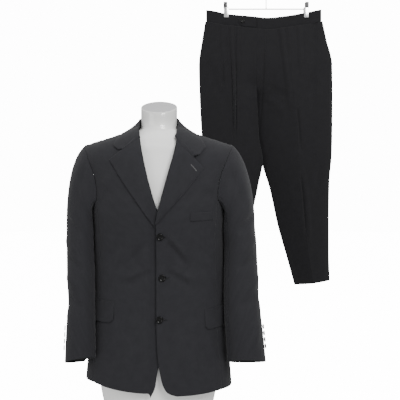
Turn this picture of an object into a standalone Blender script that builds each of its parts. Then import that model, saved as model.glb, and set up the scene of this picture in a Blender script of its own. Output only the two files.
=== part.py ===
"""A single-breasted suit: the jacket on a torso form, the trousers on a clip hanger.

Metres, +Z up. The origin is the middle of the form's flat foot. The jacket's
front looks along -Y, and the wearer's left is +X. The trousers hang behind
the jacket's left shoulder.
"""
from collections import namedtuple
from math import asin, cos, pi, sin, sqrt

import bmesh
import bpy
from mathutils import Vector

# Cloth and seams
WALL = 0.0015
SEAM = 0.0003
LAY = 0.0005
LAPEL_LAY = 0.0009

# Jacket body: half width and half depths of its sections
ROUND = 2.4
Section = namedtuple("Section", "z half_width front back")
BODY = (
    Section(0.055, 0.212, 0.129, 0.118),
    Section(0.130, 0.206, 0.124, 0.122),
    Section(0.200, 0.198, 0.120, 0.124),
    Section(0.300, 0.193, 0.113, 0.115),
    Section(0.400, 0.190, 0.111, 0.105),
    Section(0.500, 0.189, 0.124, 0.112),
    Section(0.580, 0.194, 0.134, 0.122),
    Section(0.660, 0.207, 0.128, 0.128),
    Section(0.720, 0.226, 0.114, 0.126),
    Section(0.800, 0.238, 0.098, 0.118),
)

# Shoulder line, with its roll from front to back
RIDGE_X = 0.097
RIDGE_Z = 0.7946
RIDGE_FALL = 0.32
ROLL_NECK = 0.112
ROLL_FALL = 0.24
SHOULDER_END = 0.214
NECK_X = 0.066
BACK_NECK_DROP = 0.19

# Seams of the body, as shares of the half width
FRONT_SEAM = 0.86
BACK_SEAM = 0.88
ARMPIT_FRONT = 0.600
ARMPIT_BACK = 0.610
ARMPIT_DIP = 0.046
BACK_GAP = 0.0005
SIDE_GAP = 0.0048

# Share of each panel's rows below the armpit, and how they crowd to the hem
FRONT_SPLIT = 0.56
BACK_SPLIT = 0.55
HEM_EASE = 1.35

Edge = namedtuple("Edge", "z x")

# Armholes, as steps out of the line of the seam below them
ARMHOLE_FRONT = (
    Edge(0.600, 0.0000),
    Edge(0.640, -0.0040),
    Edge(0.690, -0.0015),
    Edge(0.730, 0.0050),
    Edge(0.757, 0.0150),
)
ARMHOLE_BACK = (
    Edge(0.610, 0.0000),
    Edge(0.650, -0.0030),
    Edge(0.690, 0.0000),
    Edge(0.730, 0.0040),
    Edge(0.757, 0.0105),
)

# Front edges, from the hem up to the neck
EDGE_LEFT = (
    Edge(0.064, 0.0560),
    Edge(0.067, 0.0440),
    Edge(0.073, 0.0310),
    Edge(0.085, 0.0215),
    Edge(0.103, 0.0145),
    Edge(0.147, 0.0060),
    Edge(0.200, 0.0010),
    Edge(0.300, -0.0013),
    Edge(0.540, -0.0013),
    Edge(0.571, 0.0058),
    Edge(0.649, 0.0267),
    Edge(0.727, 0.0477),
    Edge(0.790, 0.0630),
    Edge(0.8045, 0.0660),
)
EDGE_RIGHT = (
    Edge(0.0590, -0.0165),
    Edge(0.0680, -0.0120),
    Edge(0.080, -0.0060),
    Edge(0.090, -0.0030),
    Edge(0.103, -0.0015),
    Edge(0.147, 0.0070),
    Edge(0.200, 0.0250),
    Edge(0.300, 0.0350),
    Edge(0.500, 0.0350),
    Edge(0.530, 0.0180),
    Edge(0.571, 0.0010),
    Edge(0.6246, -0.0157),
    Edge(0.691, -0.0334),
    Edge(0.772, -0.0560),
    Edge(0.8045, -0.0660),
)
UNDERLAP = 0.0070
UNDERLAP_START = -0.036
UNDERLAP_RUN = 0.030
UNDERLAP_TOP = 0.62
UNDERLAP_FADE = 0.05
HEM_SIDE = {1: 0.072, -1: 0.092}
HEM_POINT = {1: 0.0, -1: 0.0125}
HEM_POINT_WIDTH = 0.09
HEM_BACK = 0.070

# Lapels: the fold and the outer edge, each read at its height
Lapel = namedtuple("Lapel", "fold_z fold_x edge_z edge_x lift")
LAPEL_LEFT = (
    Lapel(0.534, -0.0035, 0.534, 0.0010, 0.0026),
    Lapel(0.571, 0.0038, 0.552, 0.0160, 0.0040),
    Lapel(0.630, 0.0190, 0.585, 0.0460, 0.0050),
    Lapel(0.690, 0.0355, 0.625, 0.0810, 0.0050),
    Lapel(0.735, 0.0475, 0.660, 0.1080, 0.0050),
    Lapel(0.765, 0.0530, 0.687, 0.1290, 0.0050),
)
LAPEL_RIGHT = (
    Lapel(0.512, 0.0130, 0.512, 0.0070, 0.0004),
    Lapel(0.548, 0.0095, 0.537, -0.0130, 0.0006),
    Lapel(0.600, -0.0065, 0.575, -0.0400, 0.0022),
    Lapel(0.660, -0.0230, 0.620, -0.0720, 0.0045),
    Lapel(0.725, -0.0385, 0.668, -0.1040, 0.0050),
    Lapel(0.772, -0.0476, 0.711, -0.1300, 0.0050),
)

# Collar: its fold round the neck and the free edge of its leaf
Round = namedtuple("Round", "share fold_x fold_y fold_z edge_x edge_y stand fore")
COLLAR = (
    Round(0.00, 0.0000, 0.0790, 0.8480, 0.0000, 0.0930, 0.0340, 0.0),
    Round(0.20, 0.0310, 0.0700, 0.8470, 0.0400, 0.0850, 0.0330, 0.0),
    Round(0.40, 0.0535, 0.0420, 0.8420, 0.0760, 0.0560, 0.0290, 0.0),
    Round(0.60, 0.0600, 0.0020, 0.8315, 0.0970, 0.0080, 0.0220, 0.0),
    Round(0.80, 0.0570, -0.0400, 0.8070, 0.1100, -0.0370, 0.0150, 0.0),
    Round(1.00, 0.0500, -0.0830, 0.7760, 0.1230, -0.0830, 0.0080, 0.026),
)
COLLAR_SPREAD = {1: 1.10, -1: 1.0}
COLLAR_FORE = {1: 1.15, -1: 0.74}
COLLAR_END_LIFT = 0.08
COLLAR_LIFT = 0.0072
COLLAR_EDGE_LIFT = 0.0022
COLLAR_TURN = 0.0040

# Sleeves: centre and half sizes of their sections
Sleeve = namedtuple("Sleeve", "z x y half_width half_depth")
SLEEVE_LEFT = (
    Sleeve(0.530, 0.2250, -0.0080, 0.0520, 0.0760),
    Sleeve(0.459, 0.2330, -0.0200, 0.0490, 0.0680),
    Sleeve(0.370, 0.2350, -0.0400, 0.0500, 0.0600),
    Sleeve(0.282, 0.2385, -0.0560, 0.0520, 0.0560),
    Sleeve(0.220, 0.2440, -0.0640, 0.0530, 0.0530),
    Sleeve(0.147, 0.2500, -0.0700, 0.0540, 0.0500),
)
SLEEVE_RIGHT = (
    Sleeve(0.530, 0.2150, -0.0080, 0.0500, 0.0760),
    Sleeve(0.470, 0.2165, -0.0200, 0.0460, 0.0680),
    Sleeve(0.376, 0.2150, -0.0400, 0.0430, 0.0600),
    Sleeve(0.314, 0.2130, -0.0520, 0.0400, 0.0560),
    Sleeve(0.247, 0.2140, -0.0600, 0.0425, 0.0530),
    Sleeve(0.150, 0.2130, -0.0660, 0.0470, 0.0500),
)
CUFF_TILT = 0.014
CUFF_RISE = {1: 0.0, -1: 0.007}
SLEEVE_OFF = 0.0021
SLEEVE_CLEAR = 0.0060
SLEEVE_COLUMNS = 72
SLEEVE_CAP = 0.36
SLEEVE_SLIT = 0.35
CUFF_Z = 0.156
SEAM_TOP = {"front": 118.0, "back": -75.0}
SEAM_CUFF = {"front": 150.0, "back": -8.0}

Fold = namedtuple("Fold", "x_top x_end z_top z_end width height")

# Pockets
Pocket = namedtuple("Pocket", "start end top fall height")
FLAPS = {
    1: Pocket(0.132, 1.60, 0.2960, -0.016, 0.056),
    -1: Pocket(0.119, 1.50, 0.3200, -0.006, 0.060),
}
FLAP_CORNER = 0.010
FLAP_CORNER_RUN = 0.10
WELT = Pocket(0.0918, 0.1560, 0.5650, 0.004, 0.024)

# Buttons
Button = namedtuple("Button", "x z")
FRONT_BUTTONS = (Button(0.0096, 0.499), Button(0.0150, 0.3852), Button(0.0082, 0.271))
BUTTON_RADIUS = 0.0098
BUTTON_THICK = 0.0036
BUTTON_LIFT = 0.0006
BUTTON_SIDES = 12
CUFF_BUTTONS = 4
CUFF_BUTTON_RADIUS = 0.0070
CUFF_BUTTON_STEP = 0.0180
CUFF_BUTTON_FIRST = 0.034
CUFF_BUTTON_TURN = 12.0
CUFF_BUTTON_LIFT = 0.0018
CUFF_BUTTON_SIDES = 8
SMALL_BUTTON_THICK = 0.003
WAIST_BUTTON_RADIUS = 0.0075

# Largest folds of the fronts, drawn from the top two buttons
FRONT_FOLDS = {
    1: (
        Fold(0.0230, 0.0860, 0.492, 0.412, 0.010, -0.0040),
        Fold(0.0240, 0.0980, 0.402, 0.356, 0.010, -0.0034),
    ),
    -1: (
        Fold(-0.0250, -0.0800, 0.480, 0.420, 0.011, -0.0028),
        Fold(-0.0250, -0.0900, 0.398, 0.362, 0.011, -0.0028),
    ),
}

# Torso form
Form = namedtuple("Form", "z half_width front back")
FORM = (
    Form(0.000, 0.150, 0.095, 0.095),
    Form(0.012, 0.156, 0.100, 0.100),
    Form(0.100, 0.170, 0.104, 0.102),
    Form(0.200, 0.165, 0.106, 0.108),
    Form(0.300, 0.156, 0.100, 0.102),
    Form(0.400, 0.151, 0.096, 0.092),
    Form(0.500, 0.157, 0.109, 0.098),
    Form(0.580, 0.168, 0.118, 0.106),
    Form(0.650, 0.180, 0.112, 0.112),
    Form(0.700, 0.187, 0.100, 0.112),
    Form(0.735, 0.188, 0.092, 0.108),
)
FORM_SHOULDERS = (0.748, 0.757, 0.765, 0.773, 0.781, 0.788, 0.794, 0.799)
FORM_UNDER = 0.0022
FORM_SLIM = 0.92
FORM_REACH = 0.190
NECK_BLEND_FROM = 0.770
NECK_BLEND_RUN = 0.045
NECK_BLEND = 0.35
NECK_HALF = 0.0525
NECK_DEPTH = 0.0560
NECK_BACKSET = 0.0080
NECK_ROOT = ((0.8035, 1.06), (0.811, 1.015), (0.824, 1.0))
CAP_MIDDLE = 0.8712
CAP_SLOPE = 0.424
FORM_SIDES = 28

# Trousers: each leg's outline from the front, its crease and its half depth
TROUSERS_Y = 0.579
Leg = namedtuple("Leg", "z outer inner crease depth join")
LEG_LEFT = (
    Leg(0.2950, 0.5980, 0.4716, 0.5330, 0.0300, 0.00),
    Leg(0.3928, 0.5950, 0.4450, 0.5180, 0.0320, 0.00),
    Leg(0.5220, 0.5948, 0.4095, 0.5000, 0.0340, 0.00),
    Leg(0.6600, 0.5968, 0.3800, 0.4870, 0.0360, 0.00),
    Leg(0.7660, 0.6060, 0.3490, 0.4800, 0.0370, 0.00),
    Leg(0.8640, 0.6080, 0.3325, 0.4735, 0.0370, 0.00),
    Leg(0.9700, 0.6085, 0.3292, 0.4655, 0.0360, 0.05),
    Leg(1.1000, 0.6075, 0.3256, 0.4510, 0.0320, 0.72),
    Leg(1.1900, 0.5870, 0.3260, 0.4470, 0.0230, 0.85),
    Leg(1.2600, 0.5720, 0.3294, 0.4450, 0.0140, 0.90),
)
LEG_RIGHT = (
    Leg(0.2950, 0.1580, 0.2850, 0.2250, 0.0300, 0.00),
    Leg(0.3928, 0.1540, 0.2920, 0.2270, 0.0320, 0.00),
    Leg(0.5220, 0.1480, 0.3050, 0.2320, 0.0340, 0.00),
    Leg(0.6600, 0.1410, 0.3310, 0.2400, 0.0360, 0.00),
    Leg(0.7660, 0.1330, 0.3490, 0.2450, 0.0370, 0.00),
    Leg(0.8640, 0.1245, 0.3325, 0.2450, 0.0370, 0.00),
    Leg(0.9700, 0.1190, 0.3292, 0.2440, 0.0360, 0.05),
    Leg(1.1000, 0.1155, 0.3256, 0.2410, 0.0320, 0.72),
    Leg(1.1900, 0.1270, 0.3260, 0.2380, 0.0230, 0.85),
    Leg(1.2600, 0.1385, 0.3294, 0.2380, 0.0140, 0.90),
)
LEGS_MEET = (
    Edge(0.7660, 0.3490),
    Edge(0.8640, 0.3325),
    Edge(0.9700, 0.3292),
    Edge(1.1000, 0.3256),
    Edge(1.1900, 0.3260),
    Edge(1.2600, 0.3294),
)
LEG_HEM = {1: 0.017, -1: -0.010}
LEG_FULLNESS = 0.75
CREASE_SHARP = 0.004
CREASE_WIDTH = 0.16
LEG_GAP = 0.0017
LEG_LAP = 0.0035
LEG_SHIFT = 0.0108

PLEATS = {
    1: (
        Fold(0.4200, 0.4560, 1.225, 0.900, 0.007, 0.0050),
        Fold(0.4850, 0.4900, 1.225, 1.020, 0.007, 0.0040),
        Fold(0.5400, 0.5250, 1.200, 0.840, 0.010, -0.0040),
    ),
    -1: (
        Fold(0.2350, 0.2440, 1.225, 0.800, 0.005, 0.0050),
        Fold(0.2590, 0.2470, 1.225, 0.800, 0.005, 0.0050),
        Fold(0.2030, 0.2080, 1.200, 1.040, 0.007, 0.0040),
    ),
}

# Waistband, hanging from its two clips
Band = namedtuple("Band", "x top")
BAND = (
    Band(0.1400, 1.3030),
    Band(0.1745, 1.2970),
    Band(0.2160, 1.2870),
    Band(0.3225, 1.2765),
    Band(0.3670, 1.2720),
    Band(0.4330, 1.2785),
    Band(0.5110, 1.2920),
    Band(0.5690, 1.3050),
)
BAND_HEIGHT = 0.044
BAND_DEPTH = 0.0110
BAND_ROUND = 0.7
BAND_MIDDLE = 0.3275
BAND_ENDS = {1: 0.5680, -1: 0.1415}
TAB = (0.2620, 0.3275)
TAB_HEIGHT = 0.036
WAIST_BUTTON_X = 0.2760

# Clip hanger
BAR_Z = 1.3060
BAR_RADIUS = 0.0021
CLIP_X = {1: 0.5110, -1: 0.2160}
CLIP_WIDTH = 0.0165
CLIP_FOOT = 1.2727
CLIP_HEAD = 1.3110
CLIP_PLATE = 0.0028
GRIP_HEIGHT = 0.020
GRIP_WIDTH = 0.0135
GRIP_DEPTH = 0.0045
GRIP_OUT = 0.003
HOOK_RADIUS = 0.0225
HOOK_STEM = 0.034
HOOK_SWEEP = 1.28
HOOK_WIRE = 0.0017

JACKET_CLOTH = ("jacket_cloth", (0.032, 0.032, 0.037), 0.92, 0.0)
TROUSER_CLOTH = ("trouser_cloth", (0.018, 0.018, 0.020), 0.92, 0.0)
HORN = ("button_horn", (0.012, 0.012, 0.013), 0.35, 0.0)
GLOSS_WHITE = ("form_white", (0.80, 0.80, 0.80), 0.18, 0.0)
CHROME = ("clip_chrome", (0.78, 0.78, 0.78), 0.2, 1.0)
DARK_PLASTIC = ("grip_dark", (0.03, 0.03, 0.03), 0.4, 0.0)


def start():
    """Empty the scene and make the collection for the suit."""
    for thing in list(bpy.data.objects):
        bpy.data.objects.remove(thing, do_unlink=True)
    collection = bpy.data.collections.new("suit")
    bpy.context.scene.collection.children.link(collection)
    return collection


def finish_of(finish):
    """Material of a finish, made once."""
    name, colour, roughness, metallic = finish
    material = bpy.data.materials.get(name)
    if material is None:
        material = bpy.data.materials.new(name)
        material.use_nodes = True
        shader = material.node_tree.nodes["Principled BSDF"]
        shader.inputs["Base Color"].default_value = (*colour, 1.0)
        shader.inputs["Roughness"].default_value = roughness
        shader.inputs["Metallic"].default_value = metallic
    return material


def place(name, data, finish):
    """Object of some mesh or curve data, in the suit's collection."""
    piece = bpy.data.objects.new(name, data)
    bpy.data.collections["suit"].objects.link(piece)
    piece.data.materials.append(finish_of(finish))
    return piece


def slopes(knots, values):
    """Slopes of a smooth curve that never overshoots its knots."""
    steps = [(b - a) for a, b in zip(knots, knots[1:])]
    rises = [(b - a) / step for a, b, step in zip(values, values[1:], steps)]
    result = [rises[0]]
    for left, right in zip(rises, rises[1:]):
        result.append(0.0 if left * right <= 0 else 2 * left * right / (left + right))
    result.append(rises[-1])
    return result


def read(table, column, at):
    """Value of a table's column at a value of its first column."""
    knots = [row[0] for row in table]
    values = [getattr(row, column) for row in table]
    at = min(max(at, knots[0]), knots[-1])
    index = 0
    while index < len(knots) - 2 and at > knots[index + 1]:
        index += 1
    bend = slopes(knots, values)
    step = knots[index + 1] - knots[index]
    t = (at - knots[index]) / step
    return (
        values[index] * (1 + 2 * t) * (1 - t) ** 2
        + values[index + 1] * t * t * (3 - 2 * t)
        + step * bend[index] * t * (1 - t) ** 2
        + step * bend[index + 1] * t * t * (t - 1)
    )


def mix(a, b, t):
    """Value between a and b."""
    return a + (b - a) * t


def smooth(t):
    """Soft step from 0 to 1."""
    t = min(max(t, 0.0), 1.0)
    return t * t * (3 - 2 * t)


def ridge(x):
    """Height of the shoulder line."""
    return RIDGE_Z - RIDGE_FALL * (abs(x) - RIDGE_X)


def roll_height(x):
    """Height over which the shoulder rolls over to the front or back."""
    return ROLL_NECK - ROLL_FALL * abs(x)


def body_y(x, z, face, out=0.0):
    """Depth of the jacket's body at a place, face -1 for the front."""
    column = "front" if face < 0 else "back"
    across = min(abs(x) / (read(BODY, "half_width", z) + out), 1.0)
    depth = (read(BODY, column, z) + out) * (1 - across**ROUND) ** (1 / ROUND)
    share = (ridge(x) + out - z) / (roll_height(x) + out)
    share = min(max(share, 0.0), 1.0)
    return face * max(depth * sqrt(1 - (1 - share) ** 2), SEAM * 0.7)


def body_normal(x, z, face):
    """Outward direction of the body there."""
    d = 0.0015
    z = min(z, ridge(x) - 2 * d)
    along_x = (body_y(x + d, z, face) - body_y(x - d, z, face)) / (2 * d)
    along_z = (body_y(x, z + d, face) - body_y(x, z - d, face)) / (2 * d)
    return Vector((-face * along_x, face, -face * along_z)).normalized()


def on_body(x, z, face, out=0.0):
    """Point on the body, moved out."""
    point = Vector((x, body_y(x, z, face), z))
    if out:
        point += body_normal(x, z, face) * out
    return point


def round_body(side, turn, z, out=0.0):
    """Point of the body's section at a turn from the front centre."""
    wide = read(BODY, "half_width", z) + out
    column = "front" if cos(turn) > 0 else "back"
    deep = read(BODY, column, z) + out
    x = side * wide * abs(sin(turn)) ** (2 / ROUND)
    y = deep * abs(cos(turn)) ** (2 / ROUND)
    return Vector((x, -y if cos(turn) > 0 else y, z))


def turn_of(share):
    """Turn at which the section reaches a share of its half width."""
    return asin(min(share, 1.0) ** (ROUND / 2))


def shoulder_z(x, y, out):
    """Height of the body's top over a place, moved out."""
    z = ridge(x)
    for _ in range(4):
        column = "front" if y < 0 else "back"
        across = min(abs(x) / (read(BODY, "half_width", z) + out), 1.0)
        depth = (read(BODY, column, z) + out) * (1 - across**ROUND) ** (1 / ROUND)
        part = min(abs(y) / depth, 0.999)
        z = ridge(x) + out - (roll_height(x) + out) * (1 - sqrt(1 - part * part))
    return z


def sheet(name, across, along, point, finish, flip=False, offset=-1.0):
    """Cloth wall: a grid whose points come from point(u, v), with a thickness."""
    mesh = bpy.data.meshes.new(name)
    grid = bmesh.new()
    bmesh.ops.create_grid(grid, x_segments=across, y_segments=along, size=0.5)
    for vert in grid.verts:
        vert.co = point(vert.co.x + 0.5, vert.co.y + 0.5)
    if flip:
        bmesh.ops.reverse_faces(grid, faces=grid.faces)
    for face in grid.faces:
        face.smooth = True
    grid.to_mesh(mesh)
    grid.free()
    piece = place(name, mesh, finish)
    shell = piece.modifiers.new("wall", "SOLIDIFY")
    shell.thickness = WALL
    shell.offset = offset
    shell.use_even_offset = False
    return piece


def armhole_x(z, face):
    """Distance of the armhole's edge from the centre."""
    share = FRONT_SEAM if face < 0 else BACK_SEAM
    table = ARMHOLE_FRONT if face < 0 else ARMHOLE_BACK
    return share * read(BODY, "half_width", z) + read(table, "x", z)


def front_edge(side, z):
    """Inner edge of a front, in world x."""
    return read(EDGE_LEFT if side > 0 else EDGE_RIGHT, "x", z)


def underlap(side, x, z):
    """How far the right front lies under the left one."""
    if side > 0:
        return 0.0
    across = smooth((x - UNDERLAP_START) / UNDERLAP_RUN)
    return UNDERLAP * across * smooth((UNDERLAP_TOP - z) / UNDERLAP_FADE)


def front_fold(side, x, z):
    """Height of the folds of a front at a place."""
    height = 0.0
    for fold in FRONT_FOLDS[side]:
        run_x = fold.x_end - fold.x_top
        run_z = fold.z_end - fold.z_top
        length = sqrt(run_x * run_x + run_z * run_z)
        along = ((x - fold.x_top) * run_x + (z - fold.z_top) * run_z) / length
        away = ((x - fold.x_top) * run_z - (z - fold.z_top) * run_x) / length
        ends = smooth(along / length * 4) * smooth((1 - along / length) * 2.5)
        height += fold.height * ends * max(0.0, 1 - (away / (2 * fold.width)) ** 2) ** 2
    return height


def front_point(side, u, v):
    """Point of a front: u from its inner edge to its seam, v from hem to shoulder."""
    edges = EDGE_LEFT if side > 0 else EDGE_RIGHT
    if v < FRONT_SPLIT:
        hem = mix(edges[0].z + HEM_POINT[side], HEM_SIDE[side], u * u)
        hem -= HEM_POINT[side] * max(0.0, 1 - u / HEM_POINT_WIDTH) ** 2
        z = hem + (ARMPIT_FRONT - hem) * (v / FRONT_SPLIT) ** HEM_EASE
        inner = front_edge(side, z)
        outer = side * FRONT_SEAM * read(BODY, "half_width", z)
        x = mix(inner, outer, u) - side * SEAM * u
    else:
        w = 1 - (1 - (v - FRONT_SPLIT) / (1 - FRONT_SPLIT)) ** 2
        inner_z = mix(ARMPIT_FRONT, ridge(NECK_X), w)
        outer_z = mix(ARMPIT_FRONT, ridge(SHOULDER_END), w)
        outer = side * armhole_x(outer_z, -1)
        x = mix(front_edge(side, inner_z), outer, u) - side * SEAM * u
        z = min(mix(inner_z, outer_z, u), ridge(x))
    point = on_body(x, z, -1)
    point.y += underlap(side, x, z) - front_fold(side, x, z)
    return point


def back_point(side, u, v):
    """Point of a back: u from the centre seam to its side seam, v from hem to top."""
    if v < BACK_SPLIT:
        hem = mix(HEM_BACK, HEM_SIDE[side], smooth(u))
        z = mix(hem, ARMPIT_BACK, v / BACK_SPLIT)
        outer = BACK_SEAM * read(BODY, "half_width", z)
        x = mix(BACK_GAP, outer - SEAM, u)
    else:
        w = 1 - (1 - (v - BACK_SPLIT) / (1 - BACK_SPLIT)) ** 2
        outer_z = mix(ARMPIT_BACK, ridge(SHOULDER_END), w)
        x = mix(BACK_GAP, armhole_x(outer_z, 1) - SEAM, u)
        top = ridge(x)
        if x < NECK_X:
            top -= BACK_NECK_DROP * sqrt(1 - (x / NECK_X) ** 2) * roll_height(x)
        z = mix(ARMPIT_BACK, top, w)
    return on_body(side * x, z, 1)


def side_point(side, u, v):
    """Point of a side body: u from front to back, v from hem to armpit."""
    front = turn_of(FRONT_SEAM) + SIDE_GAP
    back = pi - turn_of(BACK_SEAM) - SIDE_GAP
    top = mix(ARMPIT_FRONT, ARMPIT_BACK, u) - ARMPIT_DIP * sin(pi * u)
    z = mix(HEM_SIDE[side], top, v)
    return round_body(side, mix(front, back, u), z)


def lapel_point(side, u, v):
    """Point of a lapel: u from its fold to its edge, v from the break to the gorge."""
    table = LAPEL_LEFT if side > 0 else LAPEL_RIGHT
    knots = [row.fold_z for row in table]
    fold_z = mix(knots[0], knots[-1], v)
    row = {name: read(table, name, fold_z) for name in Lapel._fields[1:]}
    x = mix(row["fold_x"], row["edge_x"], u)
    z = mix(fold_z, row["edge_z"], u)
    soft = abs(sin(pi * (0.15 + 0.85 * u)))
    lift = LAPEL_LAY + row["lift"] * soft
    place_z = min(z, ridge(x) - 0.003)
    point = Vector((x, body_y(x, place_z, -1) + underlap(side, x, z), z))
    return point + body_normal(x, place_z, -1) * (lift + WALL)


def collar_row(turn):
    """Named sizes of the collar at a turn from -1 (right end) to 1 (left end)."""
    row = {name: read(COLLAR, name, abs(turn)) for name in Round._fields[1:]}
    side = 1 if turn >= 0 else -1
    spread = COLLAR_SPREAD[side]
    if abs(turn) > 0.6:
        row["edge_x"] *= mix(1.0, spread, (abs(turn) - 0.6) / 0.4)
    row["fore"] *= COLLAR_FORE[side]
    row["fold_x"] *= side
    row["edge_x"] *= side
    return row


def collar_point(u, v):
    """Point of the collar: u along its length, v from the stand over the fold."""
    turn = u * 2 - 1
    row = collar_row(turn)
    fold = Vector((row["fold_x"], row["fold_y"], 0))
    away = Vector((row["fold_x"], row["fold_y"] - NECK_BACKSET, 0)).normalized()
    if v < 0.45:
        inner = fold - away * COLLAR_TURN
        foot = max(row["fold_z"] - row["stand"], shoulder_z(inner.x, inner.y, 0.002))
        head = row["fold_z"] - 0.0035
        return Vector((inner.x, inner.y, mix(min(foot, head - 0.003), head, v / 0.45)))
    if v < 0.55:
        middle = fold - away * COLLAR_TURN * 0.5
        return Vector((middle.x, middle.y, row["fold_z"]))
    t = (v - 0.55) / 0.45
    x = mix(row["fold_x"], row["edge_x"], t)
    y = mix(row["fold_y"], row["edge_y"], t) - row["fore"] * sin(pi * t**1.5)
    lift = mix(COLLAR_LIFT, COLLAR_EDGE_LIFT, t * t) + COLLAR_END_LIFT * row["fore"] * t
    edge_lift = COLLAR_EDGE_LIFT + COLLAR_END_LIFT * row["fore"]
    edge_z = shoulder_z(row["edge_x"], row["edge_y"], edge_lift)
    z = mix(row["fold_z"] - 0.0035, edge_z, t)
    over = shoulder_z(x, y, lift)
    if row["fore"] > 0:
        z = mix(z, over, smooth(t * 5) * min(row["fore"] / 0.012, 1.0))
    return Vector((x, y, max(z, over)))


def armhole(side, columns):
    """Points round the armhole from its top forward, spaced evenly."""
    loop = []
    steps = 40
    for step in range(steps):
        z = mix(ARMHOLE_FRONT[-1].z, ARMPIT_FRONT, step / steps)
        loop.append(on_body(side * armhole_x(z, -1), z, -1, SLEEVE_OFF))
    for step in range(steps + 1):
        u = step / steps
        front = turn_of(FRONT_SEAM)
        back = pi - turn_of(BACK_SEAM)
        z = mix(ARMPIT_FRONT, ARMPIT_BACK, u) - ARMPIT_DIP * sin(pi * u)
        loop.append(round_body(side, mix(front, back, u), z, SLEEVE_OFF))
    for step in range(1, steps):
        z = mix(ARMPIT_BACK, ARMHOLE_BACK[-1].z, step / steps)
        loop.append(on_body(side * armhole_x(z, 1), z, 1, SLEEVE_OFF))
    loop.append(loop[0].copy())
    lengths = [0.0]
    for a, b in zip(loop, loop[1:]):
        lengths.append(lengths[-1] + (b - a).length)
    points = []
    for column in range(columns):
        goal = lengths[-1] * column / columns
        index = 0
        while lengths[index + 1] < goal:
            index += 1
        t = (goal - lengths[index]) / (lengths[index + 1] - lengths[index])
        points.append(loop[index].lerp(loop[index + 1], t))
    return points


def clear_of_body(point, gap):
    """Point moved straight out of the body, to a gap off it."""
    face = "front" if point.y < 0 else "back"
    wide = read(BODY, "half_width", point.z) + gap
    deep = read(BODY, face, point.z) + gap
    inside = (abs(point.x) / wide) ** ROUND + (abs(point.y) / deep) ** ROUND
    if inside >= 1:
        return point
    grow = inside ** (-1 / ROUND)
    return Vector((point.x * grow, point.y * grow, point.z))


def sleeve_ring(side, z, turn):
    """Point of a sleeve's section at a turn in degrees from its outer side."""
    table = SLEEVE_LEFT[::-1] if side > 0 else SLEEVE_RIGHT[::-1]
    angle = turn * pi / 180
    x = read(table, "x", z) + read(table, "half_width", z) * cos(angle)
    y = read(table, "y", z) - read(table, "half_depth", z) * sin(angle)
    return Vector((side * x, y, z))


def sleeve_point(side, ring, turn, v):
    """Point of a sleeve: v from the armhole to the cuff."""
    table = SLEEVE_LEFT if side > 0 else SLEEVE_RIGHT
    top = table[0].z
    place_on_ring = (turn % 360) / 360 * SLEEVE_COLUMNS
    index = int(place_on_ring)
    start = ring[index % SLEEVE_COLUMNS].lerp(
        ring[(index + 1) % SLEEVE_COLUMNS], place_on_ring - index
    )
    if v < SLEEVE_CAP:
        t = v / SLEEVE_CAP
        end = sleeve_ring(side, top, turn)
        reach = (end - start).length
        steep = max(cos(turn * pi / 180), 0.0)
        out = Vector((side * mix(1.0, 0.72, steep), 0.0, -mix(0.1, 0.62, steep)))
        out = out.normalized() * reach * mix(0.85, 0.78, steep)
        down = Vector((0, 0, -1)) * reach * 0.9
        point = (
            start * ((1 + 2 * t) * (1 - t) ** 2)
            + end * (t * t * (3 - 2 * t))
            + out * (t * (1 - t) ** 2)
            - down * (t * t * (1 - t))
        )
        gap = mix(SLEEVE_OFF, SLEEVE_CLEAR, smooth(t * 1.5))
        return clear_of_body(point, gap) if point.z < ARMPIT_BACK else point
    t = (v - SLEEVE_CAP) / (1 - SLEEVE_CAP)
    angle = turn * pi / 180
    rise = CUFF_TILT * sin(angle) - CUFF_RISE[side] * cos(angle)
    z = mix(top, table[-1].z, t) + rise * t * t
    point = sleeve_ring(side, max(z, table[-1].z), turn)
    point.z = z
    return clear_of_body(point, SLEEVE_CLEAR)


def seam_turn(name, v):
    """Turn of a sleeve's seam at a place along it."""
    return mix(SEAM_TOP[name], SEAM_CUFF[name], v)


def sleeves(side, tag):
    """Two pieces of a sleeve, each a wall from armhole to cuff."""
    ring = armhole(side, SLEEVE_COLUMNS)

    def top_point(u, v):
        back = seam_turn("back", v) + SLEEVE_SLIT
        front = seam_turn("front", v) - SLEEVE_SLIT
        return sleeve_point(side, ring, mix(back, front, u), v)

    def under_point(u, v):
        front = seam_turn("front", v) + SLEEVE_SLIT
        back = seam_turn("back", v) + 360 - SLEEVE_SLIT
        return sleeve_point(side, ring, mix(front, back, u), v)

    sheet("sleeve_top_" + tag, 12, 15, top_point, JACKET_CLOTH, flip=side > 0)
    sheet("sleeve_under_" + tag, 11, 15, under_point, JACKET_CLOTH, flip=side > 0)
    for number in range(CUFF_BUTTONS):
        z = CUFF_Z + CUFF_BUTTON_FIRST + number * CUFF_BUTTON_STEP
        cuff = SLEEVE_LEFT[-1].z if side > 0 else SLEEVE_RIGHT[-1].z
        share = (SLEEVE_LEFT[0].z - z) / (SLEEVE_LEFT[0].z - cuff)
        v = SLEEVE_CAP + (1 - SLEEVE_CAP) * share
        here = sleeve_point(side, ring, CUFF_BUTTON_TURN, v)
        beside = sleeve_point(side, ring, CUFF_BUTTON_TURN + 4, v)
        above = sleeve_point(side, ring, CUFF_BUTTON_TURN, v - 0.02)
        normal = (beside - here).cross(above - here).normalized()
        if normal.x * side < 0:
            normal = -normal
        name = "cuff_button_" + tag + "_" + str(number + 1)
        spot = here + normal * CUFF_BUTTON_LIFT
        button(name, spot, normal, CUFF_BUTTON_RADIUS, SMALL_BUTTON_THICK, CUFF_BUTTON_SIDES)


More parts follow.
